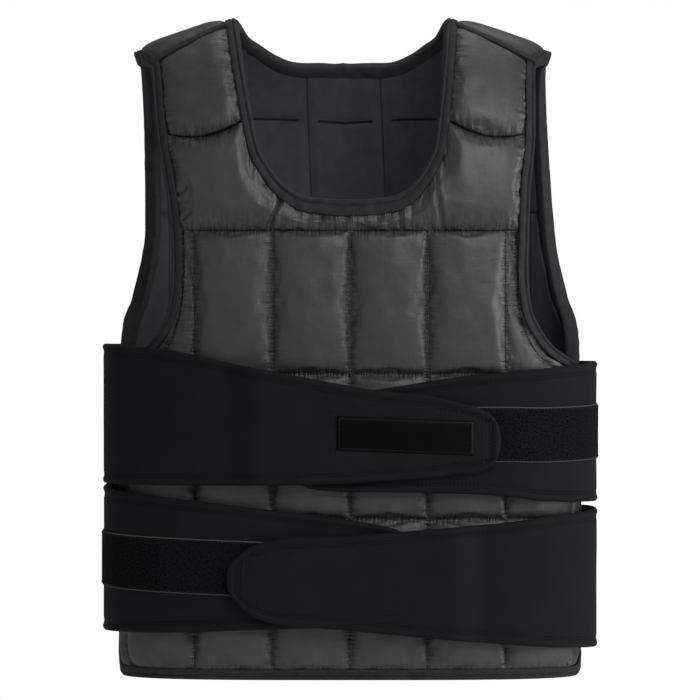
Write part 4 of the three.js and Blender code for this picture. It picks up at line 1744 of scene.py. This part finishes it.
@dataclass(frozen=True)
class BeltWing:
    """One foam belt wing, drawn along its reach: negative before the centre line, then to its tip."""

    name: str
    hand: Hand
    tip: float
    top: float
    bottom: float
    rows: tuple[WingRow, ...]
    under_tip: float | None = None
    root: float = FORM.half_girth - ROOT_GAP
    side: float = 230.0
    lap_run: float = 33.0
    belt_step: float = 14.0
    edge_roll: float = 2.6
    edge_share: float = 0.25
    stitch_insets: tuple[float, float] = EDGE_ROWS
    groove: float = 1.0
    groove_width: float = 0.9
    rim: float = 0.7
    rim_inset: float = 3.2
    rim_width: float = 2.0
    tip_run: float = 30.0
    outline_step: float = 1.5
    broad_wave: float = 0.48
    broad_lift: float = 0.6
    broad_size: tuple[float, float] = (60.0, 75.0)
    small_wave: float = 0.25
    small_size: tuple[float, float] = (21.0, 30.0)
    wave_starts: tuple[float, float] = (3.0, 11.0)
    crowding: tuple[float, float] = (0.8, 0.88)

    def column(self, reach: Array, name: str) -> Array:
        """Reads a column of the wing's table, smoothly, at reaches."""
        table = smooth_line([(row.along, getattr(row, name)) for row in self.rows])
        share = np.maximum(0, (reach + self.side) / (self.tip + self.side))
        return np.interp(share, table[:, 0], table[:, 1])

    def edges(self, reach: Array) -> tuple[Array, Array]:
        """Heights of the bottom and the top edge at reaches."""
        height = self.top - self.bottom
        top = self.top - height * self.column(reach, "fall")
        return self.bottom + height * self.column(reach, "lift"), top

    def lift(self, reach: Array) -> Array:
        """Height over the form of the wing's inner face.

        Args:
            reach: reaches along the wing.

        Returns:
            One height for each reach.
        """
        if self.under_tip is None:
            return np.full_like(reach, LAYERS.wing)
        end = -self.under_tip - 2 * self.belt_step
        share = np.clip((reach - end + self.lap_run) / self.lap_run, 0, 1)
        return LAYERS.wing + (LAYERS.over_wing - LAYERS.wing) * share**2 * (3 - 2 * share)

    def girth(self, reach: Array) -> Array:
        """Girth on the front cloth of a reach along the wing."""
        return -self.hand.value * reach

    def mid(self, reach: Array) -> Array:
        """Height of the wing's middle line."""
        bottom, top = self.edges(reach)
        return (bottom + top) / 2

    def outline(self, inset: float) -> Array:
        """The wing's outline moved in, as reach and height, from the root's top round the tip.

        Args:
            inset: how far in from the edge.

        Returns:
            The line's points.
        """
        turn = self.tip - self.tip_run
        reach = np.concatenate([np.linspace(-self.root, turn, 220), np.linspace(turn, self.tip, 120)[1:]])
        bottom, top = self.edges(reach)
        line = np.vstack([np.stack([reach, top], axis=1), np.stack([reach, bottom], axis=1)[::-1]])
        return evened(offset(evened(line, self.outline_step), -inset), self.outline_step)

    def sway(self, reach: Array, height: Array) -> Array:
        """Slight waves of the foam, in millimetres, less than its seat allows inwards.

        Args:
            reach: reaches along the wing.
            height: heights on the cloth.

        Returns:
            One height for each place.
        """
        speckle = Speckle(ord(self.name[0]) + len(self.name))
        aside, above = self.wave_starts
        broad = speckle.at(reach / self.broad_size[0] + aside, height / self.broad_size[1])
        small = speckle.at(reach / self.small_size[0], height / self.small_size[1] + above)
        return self.broad_wave * (broad + self.broad_lift) + self.small_wave * small

    def build(self) -> bpy.types.Object:
        """Makes the wing with rolled edges and a groove under its edge stitches."""
        grid = Grid(columns=224, rows=36)
        across, up = grid.shares
        across = across if self.hand is Hand.LEFT else 1 - across
        reach = -self.root + (self.tip + self.root) * self.crowded_tip(across)
        bottom, top = self.edges(reach)
        height = bottom + (top - bottom) * (0.5 - 0.5 * np.cos(math.pi * up))
        distance = np.minimum(np.minimum(height - bottom, top - height), self.tip - reach)
        distance = np.minimum(distance, reach + self.root)
        roll = np.sqrt(np.clip(1 - (1 - np.clip(distance / self.edge_roll, 0, 1)) ** 2, 0, 1))
        half = LAYERS.foam / 2
        thick = half * (self.edge_share + (1 - self.edge_share) * roll)
        grooves = self.groove * sum(
            np.exp(-(((distance - inset) / self.groove_width) ** 2)) for inset in self.stitch_insets
        )
        rim = self.rim * np.exp(-(((distance - self.rim_inset) / self.rim_width) ** 2))
        middle = self.lift(reach) + half + self.sway(reach, height)
        girth = self.girth(reach)
        outer = FORM.drape(Face.FRONT, girth, height, middle + thick - grooves + rim)
        inner = FORM.drape(Face.FRONT, girth, height, middle - thick)
        piece = grid.mesh(self.name, outer, inner, np.stack([girth, height], axis=1))
        mark(piece, "from_edge", distance[grid.order])
        return dress(piece, FOAM, "belt_foam", self.name)

    def crowded_tip(self, share: Array) -> Array:
        """Shares along the wing, closer together near its tip."""
        at, moved = self.crowding
        return np.interp(share, (0, at, 1), (0, moved, 1))


UPPER_UNDER = BeltWing(
    "upper_under_wing", Hand.RIGHT, 50.0, 288.0, 159.5,
    (
        WingRow(0, 0, 0), WingRow(0.211, 0.05, 0.013), WingRow(0.326, 0.078, 0.05),
        WingRow(0.461, 0.105, 0.07), WingRow(0.679, 0.18, 0.08), WingRow(0.821, 0.225, 0.083),
        WingRow(0.929, 0.28, 0.10), WingRow(0.979, 0.35, 0.145), WingRow(1, 0.47, 0.28),
    ),
)
LOWER_UNDER = BeltWing(
    "lower_under_wing", Hand.LEFT, 60.0, 174.3, 41.4,
    (
        WingRow(0, 0, 0), WingRow(0.129, 0.04, 0.007), WingRow(0.303, 0.085, 0.017),
        WingRow(0.552, 0.153, 0.04), WingRow(0.793, 0.22, 0.057), WingRow(0.931, 0.28, 0.10),
        WingRow(0.979, 0.356, 0.185), WingRow(1, 0.484, 0.35),
    ),
)
UPPER_OVER = BeltWing(
    "upper_over_wing", Hand.LEFT, 130.5, 304.0, 176.0,
    (
        WingRow(0, 0, 0), WingRow(0.155, 0.03, 0), WingRow(0.244, 0.07, 0), WingRow(0.363, 0.15, 0),
        WingRow(0.563, 0.26, 0.01), WingRow(0.705, 0.33, 0.03), WingRow(0.825, 0.364, 0.055),
        WingRow(0.898, 0.41, 0.08), WingRow(0.945, 0.45, 0.095), WingRow(0.978, 0.50, 0.135),
        WingRow(0.995, 0.58, 0.215), WingRow(1, 0.65, 0.28),
    ),
    under_tip=50.0,
)
LOWER_OVER = BeltWing(
    "lower_over_wing", Hand.RIGHT, 108.0, 153.0, 26.0,
    (
        WingRow(0, 0, 0), WingRow(0.145, 0.035, 0.022), WingRow(0.266, 0.079, 0.05),
        WingRow(0.382, 0.106, 0.079), WingRow(0.68, 0.17, 0.157), WingRow(0.84, 0.184, 0.192),
        WingRow(0.899, 0.213, 0.22), WingRow(0.941, 0.248, 0.27), WingRow(0.965, 0.30, 0.32),
        WingRow(0.994, 0.375, 0.42), WingRow(1, 0.43, 0.48),
    ),
    under_tip=60.0,
)


def level(height: float) -> Callable[[Array], Array]:
    """A height that is the same at every reach."""
    return lambda reach: np.full_like(reach, height)


@dataclass
class BeltStrip:
    """A strip sewn on a wing: loop tape, hook tape or the label."""

    name: str
    wing: BeltWing
    start: float
    end: float
    width: float
    base: Callable[[Array], Array]
    thickness: float
    middle: Callable[[Array], Array]
    finish: Finish
    slot: str
    crown: float = 0.0
    crown_run: float = 9.0
    edge_run: float = 1.2
    edge_share: float = 0.35
    cell: tuple[float, float] = (2.2, 1.8)
    fewest: tuple[int, int] = (24, 16)

    def build(self) -> bpy.types.Object:
        """Makes the strip as a closed piece with soft edges."""
        length = self.end - self.start
        runs = zip(self.fewest, (length, self.width), self.cell)
        grid = Grid(*(max(fewest, round(run / cell)) for fewest, run, cell in runs))
        u, v = grid.shares
        share = u if self.wing.hand is Hand.LEFT else 1 - u
        reach = self.start + length * share
        height = self.middle(reach) + (v - 0.5) * self.width
        distance = np.minimum(np.minimum(v, 1 - v) * self.width, np.minimum(share, 1 - share) * length)
        base = self.base(reach) + self.wing.sway(reach, height)
        round_over = self.edge_share + (1 - self.edge_share) * np.clip(distance / self.edge_run, 0, 1) ** 0.5
        puff = self.crown * np.sin(np.clip(distance / self.crown_run, 0, 1) * math.pi / 2)
        girth = self.wing.girth(reach)
        outer = FORM.drape(Face.FRONT, girth, height, base + self.thickness * round_over + puff)
        inner = FORM.drape(Face.FRONT, girth, height, base)
        piece = grid.mesh(self.name, outer, inner, np.stack([girth, height], axis=1))
        mark(piece, "from_edge", (np.minimum(v, 1 - v) * self.width)[grid.order])
        return dress(piece, self.finish, self.slot, self.name)


@dataclass
class Belts:
    """The two waist belts, each of an over and an under wing, with their strips and label."""

    loop_width: float = 50.0
    loop_wrap: float = 330.0
    loop_start: float = 24.0
    hook_length: float = 135.0
    hook_width: float = 47.0
    hook_inset: float = 13.0
    label_length: float = 120.0
    label_width: float = 31.0
    label_centre: float = 48.0
    label_height: float = 221.0
    label_tilt: float = 0.038
    label_sink: float = 0.2
    label_thickness: float = 1.0
    label_crown: float = 0.25

    def strips(self) -> list[BeltStrip]:
        """Loop strips, hook patches and the label."""
        made = [
            BeltStrip(
                name, wing, -self.loop_wrap, wing.tip - self.loop_start, self.loop_width,
                level(LAYERS.strip), LAYERS.loop, wing.mid, PILE, "loop_pile",
            )
            for name, wing in (("upper_loop_strip", UPPER_UNDER), ("lower_loop_strip", LOWER_UNDER))
        ]
        hook_base = LAYERS.over_wing - LAYERS.gap - LAYERS.hook
        made += [
            BeltStrip(
                name, wing, wing.tip - self.hook_inset - self.hook_length, wing.tip - self.hook_inset,
                self.hook_width, level(hook_base), LAYERS.hook, wing.mid, HOOK, "hook_tape",
            )
            for name, wing in (("upper_hook_patch", UPPER_OVER), ("lower_hook_patch", LOWER_OVER))
        ]
        half = self.label_length / 2
        made.append(
            BeltStrip(
                "label_patch", UPPER_OVER, self.label_centre - half, self.label_centre + half,
                self.label_width, level(LAYERS.label - self.label_sink), self.label_thickness,
                self.label_middle, SATIN, "label_satin", crown=self.label_crown,
            )
        )
        return made

    def label_middle(self, reach: Array) -> Array:
        """Height of the label's middle line, which falls a little towards its end."""
        return self.label_height - self.label_tilt * (reach - self.label_centre)

    def build(self) -> None:
        """Makes the wings, then what is sewn on them."""
        for wing in (UPPER_UNDER, LOWER_UNDER, UPPER_OVER, LOWER_OVER):
            wing.build()
        for strip in self.strips():
            strip.build()


# Stitching


@dataclass
class Stitching:
    """Rows of lockstitch, each stitch a short thread that dips at both ends."""

    length: float = 2.7
    gap: float = 0.9
    thickness: float = 0.62
    lie: tuple[float, float, float] = (0.3, 0.5, 0.8)
    sunk: float = 0.55
    proud: float = 0.1
    hook_inset: float = 1.5
    strip_inset: float = 2.2
    tape_sunk: float = 0.8
    box_step: float = 2.0
    rows: dict[str, list[Array]] = field(default_factory=dict)

    def row(self, name: str, line: Array) -> None:
        """Adds one row of stitches along a line of points in metres."""
        self.rows.setdefault(name, []).append(line)

    @staticmethod
    def one_stitch() -> tuple[Array, list[list[int]]]:
        """A single stitch of unit length along X, as points and faces."""
        bm = bmesh.new()
        upright = Matrix.Rotation(math.pi / 2, 4, "Y")
        bmesh.ops.create_uvsphere(bm, u_segments=5, v_segments=4, radius=0.5, matrix=upright)
        points = np.array([vertex.co for vertex in bm.verts])
        faces = [[vertex.index for vertex in face.verts] for face in bm.faces]
        bm.free()
        return points, faces

    def sew(self, name: str) -> bpy.types.Object:
        """Makes one piece of all the rows of a name: one stitch, repeated in arrays.

        Args:
            name: the piece's name.

        Returns:
            The piece.
        """
        stitch, faces = self.one_stitch()
        middles, headings = [], []
        for line in self.rows[name]:
            count = max(1, int(run_of(line)[-1] / ((self.length + self.gap) * MM)))
            middle = along(line, (np.arange(count) + 0.5) / count)
            middles.append(middle)
            headings.append(along(line, (np.arange(count) + 0.75) / count) - middle)
        middle, heading = np.vstack(middles), np.vstack(headings)
        heading /= np.linalg.norm(heading, axis=1, keepdims=True)
        side = np.cross(heading, self.lie)
        side /= np.linalg.norm(side, axis=1, keepdims=True)
        rise = np.cross(heading, side)
        frame = np.stack([heading * self.length, side * self.thickness, rise * self.thickness])
        places = middle[:, None] + np.einsum("tk,knc->ntc", stitch, frame) * MM
        starts = range(0, places[..., 0].size, len(stitch))
        repeated = [[index + start for index in face] for start in starts for face in faces]
        mesh = bpy.data.meshes.new(name)
        mesh.from_pydata(places.reshape(-1, 3).tolist(), [], repeated)
        mesh.polygons.foreach_set("use_smooth", [True] * len(mesh.polygons))
        piece = bpy.data.objects.new(name, mesh)
        bpy.context.scene.collection.objects.link(piece)
        Grid.lay_uv(mesh, places.reshape(-1, 3)[:, [0, 2]] / MM)
        return dress(piece, THREAD, "edge_tape")

    def belts(self, belts: Belts) -> None:
        """Double rows along the wings, and the rows of the patches and strips."""
        for wing in (UPPER_UNDER, LOWER_UNDER, UPPER_OVER, LOWER_OVER):
            for inset in wing.stitch_insets:
                self.on_wing(wing, wing.outline(inset), "belt_stitches", -self.sunk)
        for strip in belts.strips():
            if strip.finish is HOOK:
                box = self.box(strip, self.hook_inset)
                self.on_wing(strip.wing, box, "belt_stitches", self.proud)
        for strip in belts.strips():
            if strip.finish is not HOOK:
                box = self.box(strip, self.strip_inset)
                sway = strip.wing.sway(box[:, 0], box[:, 1])
                out = strip.base(box[:, 0]) + strip.thickness + sway + self.proud
                points = FORM.drape(Face.FRONT, strip.wing.girth(box[:, 0]), box[:, 1], out)
                self.row("strip_stitches", points)

    def box(self, strip: BeltStrip, inset: float) -> Array:
        """A closed box of reach and height, a little inside the edges of a strip.

        Args:
            strip: the strip.
            inset: how far in from its edges.

        Returns:
            The box's points.
        """
        reach = np.linspace(strip.start + inset, strip.end - inset, 80)
        middle, half = strip.middle(reach), strip.width / 2 - inset
        top = np.stack([reach, middle + half], axis=1)
        low = np.stack([reach, middle - half], axis=1)[::-1]
        return evened(np.vstack([top, low, top[:1]]), self.box_step)

    def on_wing(self, wing: BeltWing, line: Array, name: str, proud: float) -> None:
        """Adds a row of stitches on the outer face of a wing.

        Args:
            wing: the wing.
            line: reach and height of the row's points.
            name: the stitches' piece.
            proud: height over the wing's face, or below it where negative.
        """
        sway = wing.sway(line[:, 0], line[:, 1])
        out = wing.lift(line[:, 0]) + LAYERS.foam + sway + proud
        self.row(name, FORM.drape(Face.FRONT, wing.girth(line[:, 0]), line[:, 1], out))

    def edges(self, tape: EdgeTape) -> None:
        """One row along each tape, near its inner side."""
        inset = tape.stitch_inset
        out = tape.outer - self.tape_sunk
        for cloth in (FRONT_CLOTH, BACK_CLOTH):
            line = offset(cloth.whole_edge, inset)
            self.row("tape_stitches", FORM.drape(cloth.face, line[:, 0], line[:, 1], out))
            line = offset(cloth.neck, -inset)
            self.row("tape_stitches", FORM.drape(cloth.face, line[:, 0], line[:, 1], out))

    def build(self, belts: Belts, tape: EdgeTape) -> None:
        """Makes all the stitching."""
        self.belts(belts)
        self.edges(tape)
        for name in self.rows:
            self.sew(name)


# Studio


class Lamp(NamedTuple):
    """A square soft light: its place, its side in metres and its power in watts."""

    name: str
    place: tuple[float, float, float]
    size: float
    power: float


@dataclass
class Studio:
    """Camera, soft lights, pale floor and backdrop. Lengths are in metres."""

    camera_distance: float = 4.0
    camera_height: float = -0.272
    view_width: float = 0.63
    chest_front: float = 0.11
    floor_level: float = -0.80
    floor_reach: float = 1.5
    sensor: float = 36.0
    far_clip: float = 50.0
    ambient: float = 0.23
    wall: str = "#ffffff"
    floor_paint: str = "#f2f2f2"
    floor_roughness: float = 0.9
    aim: tuple[float, float, float] = (0.0, 0.0, -0.28)
    lamps: tuple[Lamp, ...] = (
        Lamp("key", (1.3, -2.6, 1.5), 1.5, 50.0),
        Lamp("fill", (-1.9, -2.4, 0.2), 2.0, 5.0),
        Lamp("side", (2.6, -0.6, 0.0), 1.2, 35.0),
        Lamp("top", (0.2, 0.4, 2.0), 1.4, 14.0),
    )

    def camera(self) -> None:
        """Stands the camera square in front of the vest."""
        data = bpy.data.cameras.new("camera")
        data.sensor_width = self.sensor
        data.lens = self.sensor * (self.camera_distance - self.chest_front) / self.view_width
        data.clip_end = self.far_clip
        camera = bpy.data.objects.new("camera", data)
        camera.location = (0.0, -self.camera_distance, self.camera_height)
        camera.rotation_euler = (math.pi / 2, 0.0, 0.0)
        bpy.context.scene.collection.objects.link(camera)
        bpy.context.scene.camera = camera

    def light(self, lamp: Lamp) -> None:
        """Adds a soft light that faces the vest's middle.

        Args:
            lamp: the light.
        """
        data = bpy.data.lights.new(lamp.name, "AREA")
        data.shape = "SQUARE"
        data.size = lamp.size
        data.energy = lamp.power
        light = bpy.data.objects.new(lamp.name, data)
        light.location = lamp.place
        turn = Vector(self.aim) - Vector(lamp.place)
        light.rotation_euler = turn.to_track_quat("-Z", "Y").to_euler()
        bpy.context.scene.collection.objects.link(light)

    def world(self) -> None:
        """Pale world: white where the camera sees it, and softer as light."""
        world = bpy.data.worlds.new("studio")
        world.use_nodes = True
        tree = world.node_tree
        white = linear(self.wall)
        soft = add_node(tree, "Background", {"Color": white, "Strength": self.ambient})
        wall = add_node(tree, "Background", {"Color": white, "Strength": 1.0})
        seen = add_node(tree, "LightPath").outputs["Is Camera Ray"]
        mixed = add_node(tree, "MixShader", {0: seen, 1: soft.outputs[0], 2: wall.outputs[0]})
        tree.links.new(mixed.outputs[0], tree.nodes["World Output"].inputs["Surface"])
        bpy.context.scene.world = world

    def floor(self) -> None:
        """Pale matt floor."""
        bm = bmesh.new()
        bmesh.ops.create_grid(bm, x_segments=1, y_segments=1, size=self.floor_reach)
        bmesh.ops.translate(bm, verts=bm.verts, vec=(0, 0, self.floor_level))
        mesh = bpy.data.meshes.new("floor")
        bm.to_mesh(mesh)
        bm.free()
        floor = bpy.data.objects.new("floor", mesh)
        bpy.context.scene.collection.objects.link(floor)
        paint = bpy.data.materials.new("floor_paint")
        paint.use_nodes = True
        shader = paint.node_tree.nodes["Principled BSDF"]
        shader.inputs["Base Color"].default_value = linear(self.floor_paint)
        shader.inputs["Roughness"].default_value = self.floor_roughness
        floor.data.materials.append(paint)

    def build(self) -> None:
        """Sets up the studio."""
        self.camera()
        self.world()
        self.floor()
        for lamp in self.lamps:
            self.light(lamp)
        bpy.context.scene.view_settings.view_transform = "Standard"


def main() -> None:
    """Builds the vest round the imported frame."""
    logging.basicConfig(level=logging.INFO, format="%(name)s: %(message)s")
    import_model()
    studio, body, tape, belts = Studio(), QuiltedBody(), EdgeTape(), Belts()
    studio.build()
    body.build()
    tape.build()
    belts.build()
    Stitching().build(belts, tape)


if __name__ == "__main__":
    main()
